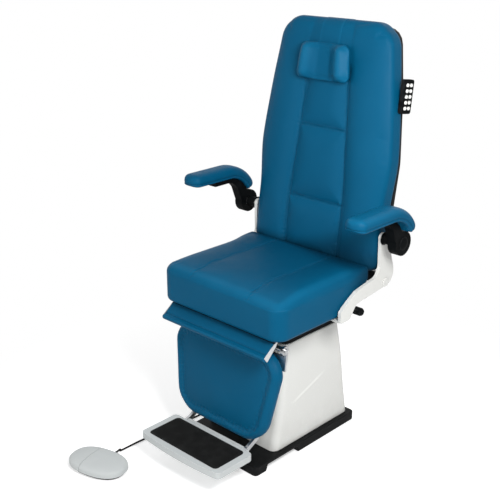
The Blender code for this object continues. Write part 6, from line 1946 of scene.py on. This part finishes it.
@dataclass
class FootSwitch:
    """Low oval foot switch with two rocking halves, a ribbed cord relief and its cord."""

    x: float = -0.241
    y: float = -0.615
    turn: float = math.radians(14.0)
    half_l: float = 0.107
    half_w: float = 0.068
    height: float = 0.040
    skirt: float = 0.010
    power: float = 2.4
    dome_power: float = 5.0
    dome_end: float = 0.985 * math.pi / 2
    dome_rings: int = 26
    split_x: float = -0.030
    half_gap: float = 0.0008
    sides: int = 144
    wall: float = 0.003
    ceiling: float = 0.0305
    ceiling_fall: float = 0.008
    notch_half_w: float = 0.0115
    notch_h: float = 0.0045
    notch_fade: float = 0.018
    relief_x: float = 0.002
    relief_l: float = 0.034
    relief_z: float = 0.0062
    relief_r: float = 0.0052
    relief_taper: float = 0.0010
    relief_waist: float = 0.0006
    relief_rings: int = 6
    joint_gap: float = 0.0003
    sole_inset: float = 0.008
    cord_r: float = 0.00325
    cord_step: float = 0.0195
    gland_x: float = -0.090
    gland_end: float = 0.2476
    gland_z: float = 0.0165
    laid: Sequence[Triple] = (
        (-0.263, -0.500, 0.0034), (-0.262, -0.420, 0.0034), (-0.254, -0.320, 0.0034),
        (-0.243, -0.200, 0.0034), (-0.238, -0.080, 0.0034), (-0.240, 0.040, 0.0034),
        (-0.243, 0.150, 0.0034), (-0.238, 0.240, 0.0034), (-0.218, 0.312, 0.0034),
        (-0.180, 0.352, 0.0034), (-0.136, 0.354, 0.0040), (-0.104, 0.326, 0.0080),
        (-0.092, 0.290, 0.0140),
    )

    def place(self, x: Floats, y: Floats, z: Floats) -> Floats:
        """Points of the chair's frame from the switch's own directions."""
        c, s = math.cos(self.turn), math.sin(self.turn)
        return np.stack([self.x + x * c - y * s, self.y + x * s + y * c, z], -1)

    def oval(self, inset: float, share: float, z: float) -> Floats:
        """Ring of the switch's plan, drawn in and shrunk, at one height."""
        a = math.tau * np.arange(self.sides) / self.sides
        c, s = np.cos(a), np.sin(a)
        x = np.copysign(np.abs(c) ** (2 / self.power), c) * (self.half_l - inset) * share
        y = np.copysign(np.abs(s) ** (2 / self.power), s) * (self.half_w - inset) * share
        return np.stack([x, y, np.full(self.sides, z)], 1)

    def dome(self) -> Skin:
        """Whole hollow dome's skin in the switch's own directions, with a notch over the cord."""
        eaves = self.ceiling - self.ceiling_fall
        inner = ((0.5, self.ceiling), (0.9, self.ceiling), (1.0, eaves), (1.0, self.skirt))
        rings = [self.oval(self.wall, share, z) for share, z in inner]
        for rise in np.sin(self.dome_end * np.arange(self.dome_rings) / (self.dome_rings - 1)):
            share = (1 - rise ** self.dome_power) ** (1 / self.power)
            rings.append(self.oval(0.0, share, self.skirt + (self.height - self.skirt) * rise))
        skin = np.array(rings)
        off = np.where(skin[..., 1] > 0, (skin[..., 0] - self.relief_x) / self.notch_half_w, 1.0)
        low = np.clip(1 - (skin[..., 2] - self.skirt) / self.notch_fade, 0, 1)
        skin[..., 2] += self.notch_h * np.sqrt(np.clip(1 - off ** 2, 0, 1)) * low
        return swept(skin)

    def pedals(self, finishes: Finishes) -> None:
        """Cut the dome into its two halves."""
        skin = self.dome()
        for hand in Hand:
            name = "pedal_" + hand.word
            piece = built(name + "_dome", skin)
            bm = bmesh.new()
            bm.from_mesh(piece.data)
            cut = bmesh.ops.bisect_plane(
                bm, geom=bm.verts[:] + bm.edges[:] + bm.faces[:], plane_no=-hand.value * ACROSS,
                plane_co=(self.split_x + hand.value * self.half_gap, 0, 0), clear_outer=True,
            )
            rim = [e for e in cut["geom_cut"] if isinstance(e, bmesh.types.BMEdge)]
            bmesh.ops.holes_fill(bm, edges=rim)
            bm.to_mesh(piece.data)
            bm.free()
            move_to(piece.data, self.place(*points_of(piece.data).T))
            piece.data.shade_smooth()
            break_edges(piece, 0.0012, 3, 50.0)
            piece.data.set_sharp_from_angle(angle=math.radians(45.0))
            dress(piece, finishes.grey, name, [name])

    def relief_start(self) -> float:
        """Own y of the sole's rear edge at the cord."""
        share = 1 - abs(self.relief_x / (self.half_l - self.sole_inset)) ** self.power
        return (self.half_w - self.sole_inset) * share ** (1 / self.power)

    def relief(self, finishes: Finishes) -> bpy.types.Object:
        """Tapered, ringed strain relief."""
        profile = [(0.0005, 0.0)]
        for i, share in enumerate(np.linspace(0, 1, 4 * self.relief_rings + 1)):
            waist = self.relief_waist if i % 4 >= 2 else 0.0
            profile.append((self.relief_r - self.relief_taper * share - waist, share * self.relief_l))
        profile.append((0.0005, self.relief_l))
        at = Vector(self.place(self.relief_x, self.relief_start() + self.joint_gap, self.relief_z))
        way = Vector((-math.sin(self.turn), math.cos(self.turn), 0))
        piece = built("cord_relief_ribbed", turned(profile, at, way, 24), SOFT)
        return dress(piece, finishes.rubber, "base", ["switch_cord_relief"])

    def route(self) -> Floats:
        """Points on the cord's smooth line from its relief to the gland."""
        start = self.relief_start() + 2 * self.joint_gap + self.relief_l
        lead = [self.place(self.relief_x, start + n * self.cord_step, self.relief_z) for n in (0, 1)]
        tail = [(self.gland_x, self.gland_end + n * self.cord_step, self.gland_z) for n in (1, 0)]
        knots = np.array([*lead, *self.laid, *tail], float)
        around = np.vstack([knots[:1], knots, knots[-1:]])
        dense = []
        for before, a, b, after in zip(around, knots, knots[1:], around[3:]):
            for t in np.arange(12) / 12:
                bend = (b - before) * (t - 2 * t ** 2 + t ** 3) / 2 + (after - a) * (t ** 3 - t ** 2) / 2
                dense.append(a * (1 - 3 * t ** 2 + 2 * t ** 3) + b * (3 * t ** 2 - 2 * t ** 3) + bend)
        path = np.array([*dense, knots[-1]])
        path[:, 2] = np.maximum(path[:, 2], self.cord_r + 0.0001)
        return path

    def cord(self, finishes: Finishes, relief: bpy.types.Object) -> None:
        """Lay the cord on the floor."""
        path = self.route()
        curve = path_curve("switch_cord", [path])
        curve.bevel_depth, curve.bevel_resolution, curve.use_fill_caps = self.cord_r, 5, True
        curve.materials.append(finishes.rubber)
        cord = new_piece("switch_cord", curve)
        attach(cord, "base")
        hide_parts("foot_switch_cord")

    def build(self, finishes: Finishes) -> None:
        """Build the foot switch and its cord."""
        self.cord(finishes, self.relief(finishes))
        self.pedals(finishes)
        machined("switch_sole", finishes.rubber, 0.0012, 2)


# Studio


@dataclass
class Studio:
    """Camera at the photograph's place, pale floor, soft lamps and a white surround."""

    place: Triple = (1.93536, -2.156, 1.736)
    yaw: float = math.radians(43.754)
    pitch: float = math.radians(20.17)
    sensor: float = 36.0
    focal_px: float = 912.5
    frame_px: float = 500.0
    far: float = 60.0
    surround: float = 0.32
    floor_half: float = 14.0
    floor_z: float = -0.0006
    floor_glow: float = 0.42
    floor_fade: tuple[float, float] = (0.55, 1.25)

    @staticmethod
    def aimed(name: str, data: bpy.types.ID, at: Sequence[float], way: Vector) -> bpy.types.Object:
        """Put a camera or lamp at a place, looking a way."""
        obj = new_piece(name, data)
        obj.location = at
        obj.rotation_euler = way.to_track_quat("-Z", "Y").to_euler()
        return obj

    def camera(self) -> None:
        """Set the camera."""
        data = bpy.data.cameras.new("photo_camera")
        data.sensor_width, data.clip_end = self.sensor, self.far
        data.lens = self.sensor * self.focal_px / self.frame_px
        level = math.cos(self.pitch)
        way = Vector((-math.sin(self.yaw) * level, math.cos(self.yaw) * level, -math.sin(self.pitch)))
        bpy.context.scene.camera = self.aimed("photo_camera", data, self.place, way)

    def lamp(
        self, name: str, at: Triple, towards: Triple, size: float, power: float, mirrored: bool,
    ) -> None:
        """Hang a square soft lamp.

        Args:
            name: the lamp's name.
            at: its place.
            towards: the point it faces.
            size: its side.
            power: its power in watts.
            mirrored: whether glossy finishes show it.
        """
        data = bpy.data.lights.new(name, "AREA")
        data.size, data.energy = size, power
        self.aimed(name, data, at, Vector(towards) - Vector(at)).visible_glossy = mirrored

    def world(self) -> None:
        """White surround for the camera and reflections, softer as a light."""
        world = bpy.data.worlds.new("white_surround")
        bpy.context.scene.world = world
        world.use_nodes = True
        world.node_tree.nodes.clear()
        tree = Nodes(world.node_tree)
        white = (1.0, 1.0, 1.0, 1.0)
        seen = tree.node("ShaderNodeBackground", {}, {"Color": white})
        soft = tree.node("ShaderNodeBackground", {}, {"Color": white, "Strength": self.surround})
        rays = ("Is Camera Ray", "Is Glossy Ray", "Is Transmission Ray")
        camera, glossy, sent = (tree.node("ShaderNodeLightPath", out=ray) for ray in rays)
        out = tree.tree.nodes.new("ShaderNodeOutputWorld")
        tree.feed(out.inputs["Surface"], tree.mix((camera + glossy + sent).clamp(), soft, seen))

    def floor(self) -> None:
        """Pale floor that keeps the chair's shadow and reads white to the camera."""
        square = ((-1, -1), (1, -1), (1, 1), (-1, 1))
        corners = [(self.floor_half * x, self.floor_half * y, self.floor_z) for x, y in square]
        floor = built("studio_floor", (np.array(corners), [(0, 1, 2, 3)]))
        s = Shading("studio_floor")
        pale = s.set(base_color=(0.90, 0.90, 0.90), roughness=0.9, specular_ior_level=0.0)
        floor.data.materials.append(pale)
        lit, seen = Sock(s, s.shader.outputs[0]), s.node("ShaderNodeLightPath", out="Is Camera Ray")
        glow = s.node("ShaderNodeEmission", {}, {"Strength": self.floor_glow})
        lifted = s.mix(seen, lit, s.node("ShaderNodeAddShader", {}, {0: lit, 1: glow}))
        away = s.node("ShaderNodeVectorMath", {"operation": "LENGTH"}, {0: s.place()}, "Value")
        white = s.node("ShaderNodeEmission")
        shown = s.mix(away.step(*self.floor_fade) * seen, lifted, white)
        s.feed(s.tree.nodes["Material Output"].inputs["Surface"], shown)

    def build(self) -> None:
        """Set the whole studio."""
        bpy.context.scene.view_settings.view_transform = "Standard"
        self.camera()
        self.world()
        self.floor()
        self.lamp("key_lamp", (1.40, -0.80, 1.72), (0.0, 0.05, 0.90), 0.6, 39.0, True)
        self.lamp("fill_lamp", (-0.4, -3.5, 1.5), (0.0, 0.0, 0.55), 2.0, 40.0, True)
        self.lamp("top_lamp", (0.2, 0.4, 4.0), (0.0, 0.0, 0.6), 2.6, 10.0, False)
        self.lamp("rear_lamp", (-1.8, 3.0, 2.2), (0.0, 0.1, 0.6), 2.4, 45.0, False)


def main() -> None:
    """Build the studio, then the chair's sub-assemblies in order."""
    logging.basicConfig(level=logging.INFO, format="%(name)s: %(message)s")
    for obj in [o for o in bpy.data.objects if o.type in {"CAMERA", "LIGHT"} or o.name == "Cube"]:
        bpy.data.objects.remove(obj)
    Studio().build()
    finishes, repeats = Finishes(), Repeats()
    FootSwitch().build(finishes)
    seat, back, pillow, leg = Seat(), BackRest(), HeadPillow(), LegRest()
    back_pad = back.cushion()
    cushions = [seat.cushion(), back_pad, pillow.cushion(back_pad.form), leg.cushion()]
    for cushion in cushions:
        cushion.rough()
    swell_all(cushions)
    for assembly, cushion in zip((seat, back, pillow, leg), cushions):
        assembly.finish(cushion, finishes, repeats)
    KneeFlap().build(finishes, repeats)
    # Painted highlight on the left pad's top only.
    for hand, wear_and_highlight in ((Hand.LEFT, 0.9), (Hand.RIGHT, 0.0)):
        ArmRest(hand, wear_and_highlight).build(finishes)
    BaseUnit().build(finishes, repeats)
    Carriage().build(finishes)
    Keypad().build(finishes)
    Footplate().build(finishes, repeats)


if __name__ == "__main__":
    main()
